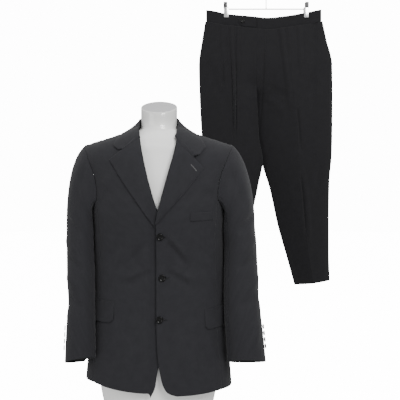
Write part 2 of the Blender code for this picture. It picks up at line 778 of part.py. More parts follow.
def button(name, point, normal, radius, thick, steps=BUTTON_SIDES):
    """Turned button with a raised rim, its back on the point."""
    profile = (
        (0.0, thick * 0.62),
        (radius * 0.62, thick * 0.62),
        (radius * 0.78, thick),
        (radius * 0.93, thick * 0.92),
        (radius, thick * 0.55),
        (radius * 0.80, 0.0),
        (0.0, 0.0),
    )
    mesh = bpy.data.meshes.new(name)
    outline = bmesh.new()
    verts = [outline.verts.new((x, 0, z)) for x, z in profile]
    for a, b in zip(verts, verts[1:]):
        outline.edges.new((a, b))
    outline.to_mesh(mesh)
    outline.free()
    piece = place(name, mesh, HORN)
    turn = piece.modifiers.new("turned", "SCREW")
    turn.steps = steps
    turn.render_steps = steps
    turn.use_merge_vertices = True
    turn.merge_threshold = 0.00001
    turn.use_smooth_shade = True
    piece.location = point
    piece.rotation_mode = "QUATERNION"
    piece.rotation_quaternion = Vector((0, 0, 1)).rotation_difference(normal)
    return piece


def pocket_point(side, pocket, u, v, out):
    """Point of a flap: u along the pocket, v from its bottom to its top."""
    first = turn_of(pocket.start / read(BODY, "half_width", pocket.top - pocket.height / 2))
    turn = mix(first, pocket.end, u)
    end = max(0.0, 1 - u / FLAP_CORNER_RUN, 1 - (1 - u) / FLAP_CORNER_RUN)
    corner = FLAP_CORNER * end**2
    top = pocket.top - pocket.fall * u
    z = mix(top - pocket.height + corner, top, v)
    return round_body(side, turn, z, out)


def welt_point(u, v, out):
    """Point of the breast welt."""
    x = mix(WELT.start, WELT.end, u)
    z = WELT.top + WELT.fall * u - WELT.height * (1 - v)
    return on_body(x, z, -1, out)


def jacket():
    """Every piece of the jacket."""
    out = LAY + WALL
    for side, tag in ((1, "left"), (-1, "right")):
        turned = side < 0
        sheet("front_" + tag, 13, 22, lambda u, v: front_point(side, u, v), JACKET_CLOTH, turned)
        sheet("side_" + tag, 6, 11, lambda u, v: side_point(side, u, v), JACKET_CLOTH, turned)
        sheet("back_" + tag, 10, 20, lambda u, v: back_point(side, u, v), JACKET_CLOTH, not turned)
        sheet("lapel_" + tag, 5, 12, lambda u, v: lapel_point(side, u, v), JACKET_CLOTH, turned)
        flap = FLAPS[side]
        sheet(
            "flap_" + tag, 8, 3,
            lambda u, v: pocket_point(side, flap, u, v, out), JACKET_CLOTH, turned,
        )
        sleeves(side, tag)
    sheet("breast_welt", 5, 2, lambda u, v: welt_point(u, v, out), JACKET_CLOTH)
    sheet("collar", 26, 9, collar_point, JACKET_CLOTH)
    for number, spot in enumerate(FRONT_BUTTONS):
        normal = body_normal(spot.x, spot.z, -1)
        point = on_body(spot.x, spot.z, -1) + normal * BUTTON_LIFT
        button("button_" + str(number + 1), point, normal, BUTTON_RADIUS, BUTTON_THICK)


def lofted(name, rings, finish):
    """Closed solid through rings of points, from the lowest up."""
    mesh = bpy.data.meshes.new(name)
    body = bmesh.new()
    loops = [[body.verts.new(point) for point in ring] for ring in rings]
    count = len(rings[0])
    for low, high in zip(loops, loops[1:]):
        for index in range(count):
            after = (index + 1) % count
            body.faces.new((low[index], low[after], high[after], high[index]))
    body.faces.new(list(reversed(loops[0])))
    body.faces.new(loops[-1])
    for face in body.faces:
        face.smooth = len(face.verts) == 4
    bmesh.ops.recalc_face_normals(body, faces=body.faces)
    body.to_mesh(mesh)
    body.free()
    return place(name, mesh, finish)


def torso_form():
    """Limbless torso form: one smooth solid from its flat foot to the neck's cap."""
    rings = []
    turns = [2 * pi * index / FORM_SIDES for index in range(FORM_SIDES)]
    for row in FORM:
        ring = []
        for turn in turns:
            deep = row.front if sin(turn) < 0 else row.back
            x = row.half_width * abs(cos(turn)) ** (2 / ROUND) * (1 if cos(turn) > 0 else -1)
            y = deep * abs(sin(turn)) ** (2 / ROUND) * (1 if sin(turn) > 0 else -1)
            ring.append(Vector((x, y, row.z)))
        rings.append(ring)
    for z in FORM_SHOULDERS:
        reach = min(FORM_REACH, RIDGE_X + (RIDGE_Z - FORM_UNDER - z) / RIDGE_FALL)
        blend = smooth((z - NECK_BLEND_FROM) / NECK_BLEND_RUN)
        ring = []
        for turn in turns:
            x = reach * cos(turn)
            y = 0.0
            if abs(cos(turn)) < 0.9999:
                face = -1 if sin(turn) < 0 else 1
                y = body_y(x, z, face, -FORM_UNDER) * FORM_SLIM
                y = min(abs(y), abs(sin(turn)) * 0.6) * face
            neck = Vector((NECK_HALF * cos(turn), NECK_BACKSET + NECK_DEPTH * sin(turn), z))
            ring.append(Vector((x, y, z)).lerp(neck, blend * NECK_BLEND))
        rings.append(ring)
    for z, wide in (*NECK_ROOT, (CAP_MIDDLE, 1.0)):
        ring = []
        for turn in turns:
            around = Vector((NECK_HALF * cos(turn), NECK_DEPTH * sin(turn), 0)) * wide
            point = around + Vector((0, NECK_BACKSET, z))
            if z == CAP_MIDDLE:
                point.z += CAP_SLOPE * NECK_DEPTH * sin(turn)
            ring.append(point)
        rings.append(ring)
    lofted("torso_form", rings, GLOSS_WHITE)


def band_top(x):
    """Height of the waistband's top edge."""
    return read(BAND, "top", x)


def leg_point(side, u, v, face):
    """Point of a trouser panel: u from the outseam to the inner edge, v up the leg."""
    table = LEG_LEFT if side > 0 else LEG_RIGHT
    z = mix(table[0].z, table[-1].z, v)
    row = {name: read(table, name, z) for name in Leg._fields[1:]}
    inner = row["inner"]
    if z > LEGS_MEET[0].z:
        inner = read(LEGS_MEET, "x", z)
    inner += side * mix(-LEG_LAP, LEG_GAP, smooth(row["join"] * 12)) / 2
    x = mix(row["outer"], inner, u)
    middle = (row["crease"] - row["outer"]) / (inner - row["outer"])
    near = u / middle if u < middle else (1 - u) / (1 - middle)
    base = sin(near * pi / 2) ** LEG_FULLNESS
    if u > middle:
        base = sin(near * pi / 2) ** min(LEG_FULLNESS + 2 * row["join"], 2.0)
        base = row["join"] + (1 - row["join"]) * base
    deep = row["depth"] * base
    deep += CREASE_SHARP * max(0.0, 1 - abs(u - middle) / CREASE_WIDTH) ** 2
    if face < 0:
        for fold in PLEATS[side]:
            if fold.z_end < z < fold.z_top + 0.06:
                t = (fold.z_top - z) / (fold.z_top - fold.z_end)
                line = mix(fold.x_top, fold.x_end, t)
                fade = smooth((1 - t) * 1.6) * smooth(near * 4)
                deep += fold.height * fade * max(0.0, 1 - ((x - line) / (2 * fold.width)) ** 2) ** 2
    foot = LEG_HEM[side] * (0.5 - u)
    top = band_top(x) - BAND_HEIGHT - 2 * SEAM
    low = table[0].z + foot
    z = mix(low, top, v)
    shift = side * LEG_SHIFT * (1 - smooth((row["join"] - 0.1) / 0.35)) * smooth(u * 2 - 1)
    return Vector((x, TROUSERS_Y + face * max(deep, SEAM) + shift, z))


def band_depth(side, x):
    """Half depth of the flattened waistband at a place across."""
    share = (x - BAND_MIDDLE) / (BAND_ENDS[side] - BAND_MIDDLE)
    turn = asin(min(max(share, 0.0), 1.0) ** (1 / BAND_ROUND))
    return BAND_DEPTH * cos(turn) ** BAND_ROUND


def band_point(side, u, v):
    """Point of half the waistband: u from centre front round to centre back."""
    end = BAND_ENDS[side]
    start = BAND_MIDDLE + side * SEAM
    turn = u * pi
    x = mix(start, end, sin(turn) ** BAND_ROUND)
    y = -BAND_DEPTH * abs(cos(turn)) ** BAND_ROUND * (1 if cos(turn) > 0 else -1)
    z = band_top(x) - BAND_HEIGHT * (1 - v)
    return Vector((x, TROUSERS_Y + y, z))


def tab_point(u, v):
    """Point of the waistband's front tab, laid on the band."""
    x = mix(TAB[0], TAB[1], u)
    point_end = (1 - u / 0.18) if u < 0.18 else 0.0
    middle = band_top(x) - BAND_HEIGHT / 2
    z = middle + (v - 0.5) * TAB_HEIGHT * (1 - 0.75 * point_end)
    return Vector((x, TROUSERS_Y - BAND_DEPTH - LAY - WALL, z))


def trousers():
    """Every piece of the trousers."""
    for side, tag in ((1, "left"), (-1, "right")):
        turned = side > 0
        sheet(
            "trouser_front_" + tag, 15, 15,
            lambda u, v: leg_point(side, u, v, -1), TROUSER_CLOTH, turned, 1.0,
        )
        sheet(
            "trouser_back_" + tag, 10, 12,
            lambda u, v: leg_point(side, u, v, 1), TROUSER_CLOTH, not turned, 1.0,
        )
        sheet(
            "waistband_" + tag, 20, 2,
            lambda u, v: band_point(side, u, v), TROUSER_CLOTH, not turned,
        )
    sheet("waist_tab", 8, 2, tab_point, TROUSER_CLOTH)
    spot = tab_point((WAIST_BUTTON_X - TAB[0]) / (TAB[1] - TAB[0]), 0.5)
    forward = Vector((0, -1, 0))
    button("waist_button", spot + forward * LAY, forward, WAIST_BUTTON_RADIUS, SMALL_BUTTON_THICK)


def block(name, middle, size, finish, bevel=0.0006):
    """Box with its edges rounded off."""
    mesh = bpy.data.meshes.new(name)
    solid = bmesh.new()
    bmesh.ops.create_cube(solid, size=1.0)
    for vert in solid.verts:
        vert.co = Vector(a * b for a, b in zip(vert.co, size))
    solid.to_mesh(mesh)
    solid.free()
    piece = place(name, mesh, finish)
    piece.location = middle
    soft = piece.modifiers.new("edges", "BEVEL")
    soft.width = bevel
    soft.segments = 1
    return piece


def wire(name, points, radius, finish):
    """Round wire through points, with filled ends."""
    data = bpy.data.curves.new(name, "CURVE")
    data.dimensions = "3D"
    data.bevel_depth = radius
    data.bevel_resolution = 2
    data.use_fill_caps = True
    spline = data.splines.new("POLY")
    spline.points.add(len(points) - 1)
    for knot, point in zip(spline.points, points):
        knot.co = (*point, 1.0)
    return place(name, data, finish)


def clip(side, tag):
    """Clip: a bent steel jaw over the waistband, with two dark grips above it."""
    x = CLIP_X[side]
    inside = band_depth(side, x - side * CLIP_WIDTH / 2) + LAY
    depth = inside + CLIP_PLATE
    outline = (
        (-depth, CLIP_FOOT),
        (-inside, CLIP_FOOT),
        (-inside, CLIP_HEAD - CLIP_PLATE),
        (inside, CLIP_HEAD - CLIP_PLATE),
        (inside, CLIP_FOOT),
        (depth, CLIP_FOOT),
        (depth, CLIP_HEAD),
        (-depth, CLIP_HEAD),
    )
    mesh = bpy.data.meshes.new("clip_jaw_" + tag)
    jaw = bmesh.new()
    edge = x - CLIP_WIDTH / 2
    face = jaw.faces.new([jaw.verts.new((edge, TROUSERS_Y + y, z)) for y, z in outline])
    made = bmesh.ops.extrude_face_region(jaw, geom=[face])["geom"]
    moved = [item for item in made if isinstance(item, bmesh.types.BMVert)]
    bmesh.ops.translate(jaw, verts=moved, vec=(CLIP_WIDTH, 0, 0))
    bmesh.ops.recalc_face_normals(jaw, faces=jaw.faces)
    jaw.to_mesh(mesh)
    jaw.free()
    place("clip_jaw_" + tag, mesh, CHROME)
    for face_side, word in ((-1, "front"), (1, "back")):
        middle = (
            x + side * GRIP_OUT,
            TROUSERS_Y + face_side * depth * 0.55,
            CLIP_HEAD + SEAM + GRIP_HEIGHT / 2,
        )
        size = (GRIP_WIDTH, GRIP_DEPTH, GRIP_HEIGHT)
        block("clip_grip_" + word + "_" + tag, middle, size, DARK_PLASTIC)


def hanger():
    """Bar, hook and the two clips that hold the waistband."""
    left = CLIP_X[-1] + CLIP_WIDTH / 2 + SEAM
    right = CLIP_X[1] - CLIP_WIDTH / 2 - SEAM
    ends = ((left, TROUSERS_Y, BAR_Z), (right, TROUSERS_Y, BAR_Z))
    wire("hanger_bar", ends, BAR_RADIUS, DARK_PLASTIC)
    middle = (left + right) / 2
    foot = BAR_Z + BAR_RADIUS + SEAM
    centre_z = foot + HOOK_STEM + HOOK_RADIUS
    points = [(middle, TROUSERS_Y, foot)]
    for step in range(4):
        points.append((middle, TROUSERS_Y, mix(foot, centre_z - HOOK_RADIUS, (step + 1) / 4)))
    for step in range(1, 15):
        angle = -pi / 2 + step * HOOK_SWEEP * pi / 14
        points.append((
            middle + HOOK_RADIUS * cos(angle),
            TROUSERS_Y,
            centre_z + HOOK_RADIUS * sin(angle),
        ))
    wire("hanger_hook", points, HOOK_WIRE, CHROME)
    for side, tag in ((1, "left"), (-1, "right")):
        clip(side, tag)


def main():
    """Model the whole suit with what holds it."""
    start()
    torso_form()
    jacket()
    trousers()
    hanger()


main()
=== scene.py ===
"""Looks of a charcoal suit: the jacket on a torso form, the trousers on a clip hanger."""
import logging
from dataclasses import dataclass, field
from enum import Enum
from math import asin, cos, pi, radians, sin, sqrt
from typing import Callable, Iterable, Sequence

import bmesh
import bpy
import numpy as np
from mathutils import Matrix, Vector


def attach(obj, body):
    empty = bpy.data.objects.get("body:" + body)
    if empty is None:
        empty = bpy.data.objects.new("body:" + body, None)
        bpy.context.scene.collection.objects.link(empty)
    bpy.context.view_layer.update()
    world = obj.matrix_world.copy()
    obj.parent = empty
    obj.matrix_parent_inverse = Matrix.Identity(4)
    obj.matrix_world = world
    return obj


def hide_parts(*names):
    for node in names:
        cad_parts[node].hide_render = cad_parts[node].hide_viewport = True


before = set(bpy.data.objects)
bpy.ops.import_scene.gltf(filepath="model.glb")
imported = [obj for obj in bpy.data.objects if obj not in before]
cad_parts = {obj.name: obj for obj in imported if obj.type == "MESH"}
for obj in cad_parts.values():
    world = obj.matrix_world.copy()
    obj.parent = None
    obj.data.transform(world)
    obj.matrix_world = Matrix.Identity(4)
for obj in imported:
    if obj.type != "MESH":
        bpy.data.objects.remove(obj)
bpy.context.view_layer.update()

log = logging.getLogger("suit")

WALL = 0.0015
SEAM = 0.0003
SEWN = 0.00003
DETAIL = 1.0

PointAt = Callable[[float, float], Vector]


class Side(Enum):
    """The wearer's left (+X) or right (-X)."""

    LEFT = 1
    RIGHT = -1

    @property
    def tag(self) -> str:
        """Word used in the names of pieces."""
        return self.name.lower()


class Face(Enum):
    """Front or back of the body, as the sign of Y."""

    FRONT = -1
    BACK = 1


def mix(a: float, b: float, t: float) -> float:
    """Value between a and b."""
    return a + (b - a) * t


def smooth(t: float) -> float:
    """Soft step from 0 to 1."""
    t = min(max(t, 0.0), 1.0)
    return t * t * (3 - 2 * t)


@dataclass
class Curve:
    """Smooth curve through knots that never overshoots them."""

    knots: Sequence[float]
    values: Sequence[float]
    bend: list = field(init=False)

    def __post_init__(self) -> None:
        """Work out the slope at each knot."""
        pairs = list(zip(self.knots, self.values))
        rises = [(b[1] - a[1]) / (b[0] - a[0]) for a, b in zip(pairs, pairs[1:])]
        inner = [
            0.0 if left * right <= 0 else 2 * left * right / (left + right)
            for left, right in zip(rises, rises[1:])
        ]
        self.bend = [rises[0], *inner, rises[-1]]

    def at(self, place: float) -> float:
        """Value at a place, held at the ends."""
        knots, values, bend = self.knots, self.values, self.bend
        place = min(max(place, knots[0]), knots[-1])
        index = 0
        while index < len(knots) - 2 and place > knots[index + 1]:
            index += 1
        step = knots[index + 1] - knots[index]
        t = (place - knots[index]) / step
        return (
            values[index] * (1 + 2 * t) * (1 - t) ** 2
            + values[index + 1] * t * t * (3 - 2 * t)
            + step * bend[index] * t * (1 - t) ** 2
            + step * bend[index + 1] * t * t * (t - 1)
        )


class Table:
    """Rows of named sizes, read smoothly between the values of the first column."""

    def __init__(self, columns: str, *rows: Sequence[float]) -> None:
        """Make one curve for each column.

        Args:
            columns: the columns' names, the key first.
            rows: one row of numbers for each section, the key rising.
        """
        names = columns.split()
        keys = [row[0] for row in rows]
        self.low = keys[0]
        self.high = keys[-1]
        self.curves = {
            name: Curve(keys, [row[index] for row in rows])
            for index, name in enumerate(names)
            if index
        }

    def get(self, name: str, key: float) -> float:
        """Value of a column at a key."""
        return self.curves[name].at(key)


@dataclass(frozen=True)
class Fold:
    """Soft ridge or trough along a line, in a sheet's own two coordinates."""

    start: tuple
    end: tuple
    width: float
    height: float
    lean: float = 0.0
    squeeze: float = 1.0

    def lift(self, a: np.ndarray, b: np.ndarray) -> np.ndarray:
        """Height of the fold at each place.

        Args:
            a: first coordinate of each point.
            b: second coordinate of each point.

        Returns:
            How far each point moves along its normal.
        """
        ax, ay = self.start[0] * self.squeeze, self.start[1]
        dx, dy = self.end[0] * self.squeeze - ax, self.end[1] - ay
        size = dx * dx + dy * dy
        px, py = a * self.squeeze - ax, b - ay
        t = (px * dx + py * dy) / size
        away = (px * dy - py * dx) / sqrt(size) + self.lean * np.sin(pi * np.clip(t, 0, 1))
        ends = np.clip(t * 3.2, 0, 1) * np.clip((1 - t) * 3.2, 0, 1)
        ends = ends * ends * (3 - 2 * ends)
        return self.height * ends * np.exp(-((away / self.width) ** 2))


@dataclass
class Nodes:
    """Short hand for building a node tree."""

    tree: bpy.types.NodeTree

    def add(self, kind: str, **settings: object) -> bpy.types.Node:
        """New node of a kind, with its properties and inputs set.

        Args:
            kind: the node's type name.
            settings: properties, or inputs where the name starts with in_.

        Returns:
            The node.
        """
        node = self.tree.nodes.new(kind)
        for name, value in settings.items():
            if name.startswith("in_"):
                node.inputs[name[3:].replace("_", " ")].default_value = value
            else:
                setattr(node, name, value)
        return node

    def link(self, source: object, target: object) -> None:
        """Join an output to an input."""
        self.tree.links.new(source, target)


@dataclass(frozen=True)
class ClothFinish:
    """Worsted wool: fine twill on the cloth's own map, with a faint melange."""

    name: str
    slot: str
    dark: tuple
    light: tuple
    roughness: float = 0.90
    sheen: float = 0.08
    twill: float = 0.0011
    relief: float = 0.22

    def make(self) -> bpy.types.Material:
        """Material of the cloth.

        Returns:
            The node material, made once.
        """
        found = bpy.data.materials.get(self.name)
        if found:
            return found
        material = bpy.data.materials.new(self.name)
        material.use_nodes = True
        nodes = Nodes(material.node_tree)
        shader = material.node_tree.nodes["Principled BSDF"]
        shader.inputs["Roughness"].default_value = self.roughness
        shader.inputs["Sheen Weight"].default_value = self.sheen
        shader.inputs["Sheen Roughness"].default_value = 0.45
        shader.inputs["Specular IOR Level"].default_value = 0.25
        cloth = nodes.add("ShaderNodeUVMap", uv_map="cloth")
        turn = nodes.add("ShaderNodeMapping")
        turn.inputs["Rotation"].default_value = (0, 0, radians(28))
        nodes.link(cloth.outputs["UV"], turn.inputs["Vector"])
        rib = nodes.add("ShaderNodeTexWave", wave_profile="SIN", in_Scale=1 / (20 * self.twill) * 6.2)
        rib.inputs["Distortion"].default_value = 0.6
        rib.inputs["Detail"].default_value = 1.0
        nodes.link(turn.outputs["Vector"], rib.inputs["Vector"])
        fibre = nodes.add("ShaderNodeTexNoise", in_Scale=900.0, in_Detail=2.0)
        nodes.link(cloth.outputs["UV"], fibre.inputs["Vector"])
        cloud = nodes.add("ShaderNodeTexNoise", in_Scale=38.0, in_Detail=4.0, in_Roughness=0.6)
        nodes.link(cloth.outputs["UV"], cloud.inputs["Vector"])
        both = nodes.add("ShaderNodeMath", operation="MULTIPLY_ADD")
        both.inputs[1].default_value = 0.55
        nodes.link(fibre.outputs["Fac"], both.inputs[0])
        half = nodes.add("ShaderNodeMath", operation="MULTIPLY")
        half.inputs[1].default_value = 0.45
        nodes.link(cloud.outputs["Fac"], half.inputs[0])
        nodes.link(half.outputs[0], both.inputs[2])
        tone = nodes.add("ShaderNodeMapRange")
        tone.inputs["From Min"].default_value = 0.30
        tone.inputs["From Max"].default_value = 0.70
        nodes.link(both.outputs[0], tone.inputs["Value"])
        colour = nodes.add("ShaderNodeMix", data_type="RGBA")
        colour.inputs["A"].default_value = (*self.dark, 1)
        colour.inputs["B"].default_value = (*self.light, 1)
        nodes.link(tone.outputs["Result"], colour.inputs["Factor"])
        nodes.link(colour.outputs["Result"], shader.inputs["Base Color"])
        grain = nodes.add("ShaderNodeBump", in_Strength=self.relief, in_Distance=0.0004)
        nodes.link(rib.outputs["Fac"], grain.inputs["Height"])
        nap = nodes.add("ShaderNodeBump", in_Strength=0.12, in_Distance=0.0010)
        nodes.link(cloud.outputs["Fac"], nap.inputs["Height"])
        nodes.link(grain.outputs["Normal"], nap.inputs["Normal"])
        nodes.link(nap.outputs["Normal"], shader.inputs["Normal"])
        return material


@dataclass(frozen=True)
class SmoothFinish:
    """Lacquer, horn, steel or moulded plastic, clouded by noise in its own place, with optional painted shade
    darkening it between two heights.
    """

    name: str
    slot: str
    dark: tuple
    light: tuple
    roughness: float
    metallic: float = 0.0
    coat: float = 0.0
    scale: float = 60.0
    relief: float = 0.03
    spread: float = 0.05
    shine: float = 0.5
    # Painted shade: the heights over which the colour is darkened, and the share of it kept at the top.
    greyed_from: float = 0.0
    greyed_to: float = 0.0
    greyed: float = 1.0

    def make(self) -> bpy.types.Material:
        """Material of the smooth piece.

        Returns:
            The node material, made once.
        """
        found = bpy.data.materials.get(self.name)
        if found:
            return found
        material = bpy.data.materials.new(self.name)
        material.use_nodes = True
        nodes = Nodes(material.node_tree)
        shader = material.node_tree.nodes["Principled BSDF"]
        shader.inputs["Metallic"].default_value = self.metallic
        shader.inputs["Coat Weight"].default_value = self.coat
        shader.inputs["Coat Roughness"].default_value = 0.08
        shader.inputs["Specular IOR Level"].default_value = self.shine
        where = nodes.add("ShaderNodeTexCoord")
        cloud = nodes.add("ShaderNodeTexNoise", in_Scale=self.scale, in_Detail=5.0)
        nodes.link(where.outputs["Object"], cloud.inputs["Vector"])
        colour = nodes.add("ShaderNodeMix", data_type="RGBA")
        colour.inputs["A"].default_value = (*self.dark, 1)
        colour.inputs["B"].default_value = (*self.light, 1)
        nodes.link(cloud.outputs["Fac"], colour.inputs["Factor"])
        tone = colour.outputs["Result"]
        # Painted shade: the colour is darkened smoothly from one height to the next.
        if self.greyed < 1:
            place = nodes.add("ShaderNodeSeparateXYZ")
            nodes.link(where.outputs["Object"], place.inputs["Vector"])
            share = nodes.add("ShaderNodeMapRange", interpolation_type="SMOOTHSTEP")
            share.inputs["From Min"].default_value = self.greyed_from
            share.inputs["From Max"].default_value = self.greyed_to
            share.inputs["To Min"].default_value = 1.0
            share.inputs["To Max"].default_value = self.greyed
            nodes.link(place.outputs["Z"], share.inputs["Value"])
            fade = nodes.add("ShaderNodeVectorMath", operation="SCALE")
            nodes.link(tone, fade.inputs["Vector"])
            nodes.link(share.outputs["Result"], fade.inputs["Scale"])
            tone = fade.outputs["Vector"]
        nodes.link(tone, shader.inputs["Base Color"])
        gloss = nodes.add("ShaderNodeMapRange")
        gloss.inputs["To Min"].default_value = self.roughness - self.spread
        gloss.inputs["To Max"].default_value = self.roughness + self.spread
        nodes.link(cloud.outputs["Fac"], gloss.inputs["Value"])
        nodes.link(gloss.outputs["Result"], shader.inputs["Roughness"])
        fine = nodes.add("ShaderNodeTexNoise", in_Scale=self.scale * 9, in_Detail=2.0)
        nodes.link(where.outputs["Object"], fine.inputs["Vector"])
        bump = nodes.add("ShaderNodeBump", in_Strength=self.relief, in_Distance=0.0005)
        nodes.link(fine.outputs["Fac"], bump.inputs["Height"])
        nodes.link(bump.outputs["Normal"], shader.inputs["Normal"])
        return material


class Finish(Enum):
    """Every finish on the suit and what holds it."""

    JACKET = ClothFinish(
        "charcoal_worsted", "jacket_cloth", (0.0120, 0.0120, 0.0142), (0.0195, 0.0195, 0.0228)
    )
    TROUSERS = ClothFinish(
        "dark_worsted", "trouser_cloth", (0.0058, 0.0056, 0.0066), (0.0096, 0.0094, 0.0110)
    )
    LINING = ClothFinish(
        "grey_lining", "jacket_cloth", (0.010, 0.010, 0.011), (0.016, 0.016, 0.017), 0.45, 0.1, 0.0007, 0.08
    )
    WAIST_LINING = ClothFinish(
        "waist_lining", "trouser_cloth", (0.16, 0.16, 0.16), (0.24, 0.24, 0.24), 0.6, 0.1, 0.0007, 0.10
    )
    THREAD = ClothFinish(
        "dark_thread", "jacket_cloth", (0.006, 0.006, 0.007), (0.012, 0.012, 0.013), 0.6, 0.1, 0.0005, 0.3
    )
    PALE_THREAD = ClothFinish(
        "pale_thread", "jacket_cloth", (0.08, 0.08, 0.08), (0.13, 0.13, 0.13), 0.6, 0.2, 0.0005, 0.3
    )
    HORN = SmoothFinish(
        "dark_horn", "button_horn", (0.0010, 0.0010, 0.0010), (0.0030, 0.0028, 0.0028), 0.20, scale=300,
        shine=0.20,
    )
    # White lacquer, its neck painted darker above the root as painted shade.
    FORM = SmoothFinish(
        "white_lacquer", "form_white", (0.86, 0.86, 0.84), (0.90, 0.90, 0.88), 0.26, coat=0.8, scale=14,
        relief=0.01, greyed_from=0.795, greyed_to=0.840, greyed=0.74,
    )
    # Neck cap: a darker grey painted on as the shade that falls on the cap.
    CAP = SmoothFinish(
        "grey_cap", "form_white", (0.44, 0.44, 0.45), (0.50, 0.50, 0.51), 0.35, coat=0.3, scale=14,
        relief=0.02,
    )
    STEEL = SmoothFinish(
        "bright_steel", "clip_chrome", (0.70, 0.70, 0.71), (0.80, 0.80, 0.80), 0.16, 1.0, scale=80
    )
    GRIP = SmoothFinish(
        "dark_grip", "grip_dark", (0.020, 0.020, 0.021), (0.036, 0.036, 0.037), 0.42, scale=120, relief=0.12
    )


def keep(piece: bpy.types.Object, finish: Finish, *replaced: str) -> bpy.types.Object:
    """Tie a finished piece to the body and to the solids it stands for.

    Args:
        piece: the finished object.
        finish: what it is made of; not used.
        replaced: names of the solids it replaces.

    Returns:
        The same piece.
    """
    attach(piece, "root")
    if replaced:
        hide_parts(*replaced)
    log.info("%s: %d faces", piece.name, len(piece.data.polygons))
    return piece


@dataclass
class ClothSheet:
    """One sewn piece: a thin shell on a grid of points, with its creases."""

    name: str
    point: PointAt
    across: int
    along: int
    finish: Finish
    flip: bool = False
    offset: float = -1.0
    folds: Sequence[Fold] = ()
    inner: Finish | None = None
    fold_map: Callable[[np.ndarray, np.ndarray, np.ndarray], tuple] | None = None
    roll: float = 0.0007
    size: tuple = (0.0, 0.0)
    area: float = 0.0

    def grid(self) -> np.ndarray:
        """Points of the sheet, creased."""
        us = self.steps(self.across)
        vs = self.steps(self.along)
        points = np.array([[self.point(float(u), float(v))[:] for u in us] for v in vs])
        if self.folds or self.roll:
            across = np.gradient(points, axis=1)
            along = np.gradient(points, axis=0)
            normal = np.cross(across, along)
            normal /= np.linalg.norm(normal, axis=2, keepdims=True) + 1e-12
            if self.flip:
                normal = -normal
            u_grid, v_grid = np.meshgrid(us, vs)
            if self.fold_map:
                a, b = self.fold_map(points, u_grid, v_grid)
            else:
                a, b = points[..., 0], points[..., 2]
            lift = sum((fold.lift(a, b) for fold in self.folds), np.zeros(u_grid.shape))
            rim = np.minimum(np.minimum(u_grid, 1 - u_grid) * 9, np.minimum(v_grid, 1 - v_grid) * 14)
            lift = lift * np.clip(rim, 0, 1)
            wide = np.linalg.norm(np.diff(points, axis=1), axis=2).sum(axis=1).max()
            long = np.linalg.norm(np.diff(points, axis=0), axis=2).sum(axis=0).max()
            off = np.minimum(np.minimum(u_grid, 1 - u_grid) * wide, np.minimum(v_grid, 1 - v_grid) * long)
            lift = lift - self.roll * np.exp(-((off / 0.0011) ** 1.5))
            points = points + normal * lift[..., None]
        return points

    def steps(self, count: int) -> np.ndarray:
        """Places along one side of the grid, closer at both ends."""
        inner = np.linspace(0, 1, max(3, int(count * DETAIL)) + 1)[1:-1]
        near = inner[0] * np.array([0.0, 0.12, 0.35])
        return np.concatenate((near, inner, 1 - near[::-1]))

    def build(self) -> bpy.types.Object:
        """Mesh of the sheet with its map, wall and finish.

        Returns:
            The object, not yet tied to a body.
        """
        points = self.grid()
        rows, columns = points.shape[:2]
        run_u = np.zeros((rows, columns))
        run_v = np.zeros((rows, columns))
        run_u[:, 1:] = np.cumsum(np.linalg.norm(np.diff(points, axis=1), axis=2), axis=1)
        run_v[1:] = np.cumsum(np.linalg.norm(np.diff(points, axis=0), axis=2), axis=0)
        self.size = (float(run_u[:, -1].max()), float(run_v[-1].max()))
        cells = np.cross(
            points[1:, 1:] - points[:-1, :-1], points[:-1, 1:] - points[1:, :-1]
        )
        self.area = float(np.linalg.norm(cells, axis=2).sum() / 2)
        mesh = bpy.data.meshes.new(self.name)
        index = np.arange(rows * columns).reshape(rows, columns)
        corners = (index[:-1, :-1], index[:-1, 1:], index[1:, 1:], index[1:, :-1])
        faces = np.stack(corners, axis=-1).reshape(-1, 4)
        if self.flip:
            faces = faces[:, ::-1]
        mesh.from_pydata(points.reshape(-1, 3).tolist(), [], faces.tolist())
        layer = mesh.uv_layers.new(name="cloth")
        flat = np.stack((run_u, run_v), axis=-1).reshape(-1, 2)
        layer.data.foreach_set("uv", flat[faces.reshape(-1)].reshape(-1))
        mesh.polygons.foreach_set("use_smooth", [True] * len(faces))
        mesh.materials.append(self.finish.value.make())
        if self.inner:
            mesh.materials.append(self.inner.value.make())
        piece = bpy.data.objects.new(self.name, mesh)
        bpy.context.scene.collection.objects.link(piece)
        wall = piece.modifiers.new("wall", "SOLIDIFY")
        wall.thickness = WALL
        wall.offset = self.offset
        wall.use_even_offset = False
        if self.inner:
            wall.material_offset = 1
        return piece

    def sew(self, node: str | None) -> bpy.types.Object:
        """Build the sheet and tie it to its solid.

        Args:
            node: the solid that it replaces, if there is one.

        Returns:
            The finished piece.
        """
        piece = keep(self.build(), self.finish, *((node,) if node else ()))
        return piece


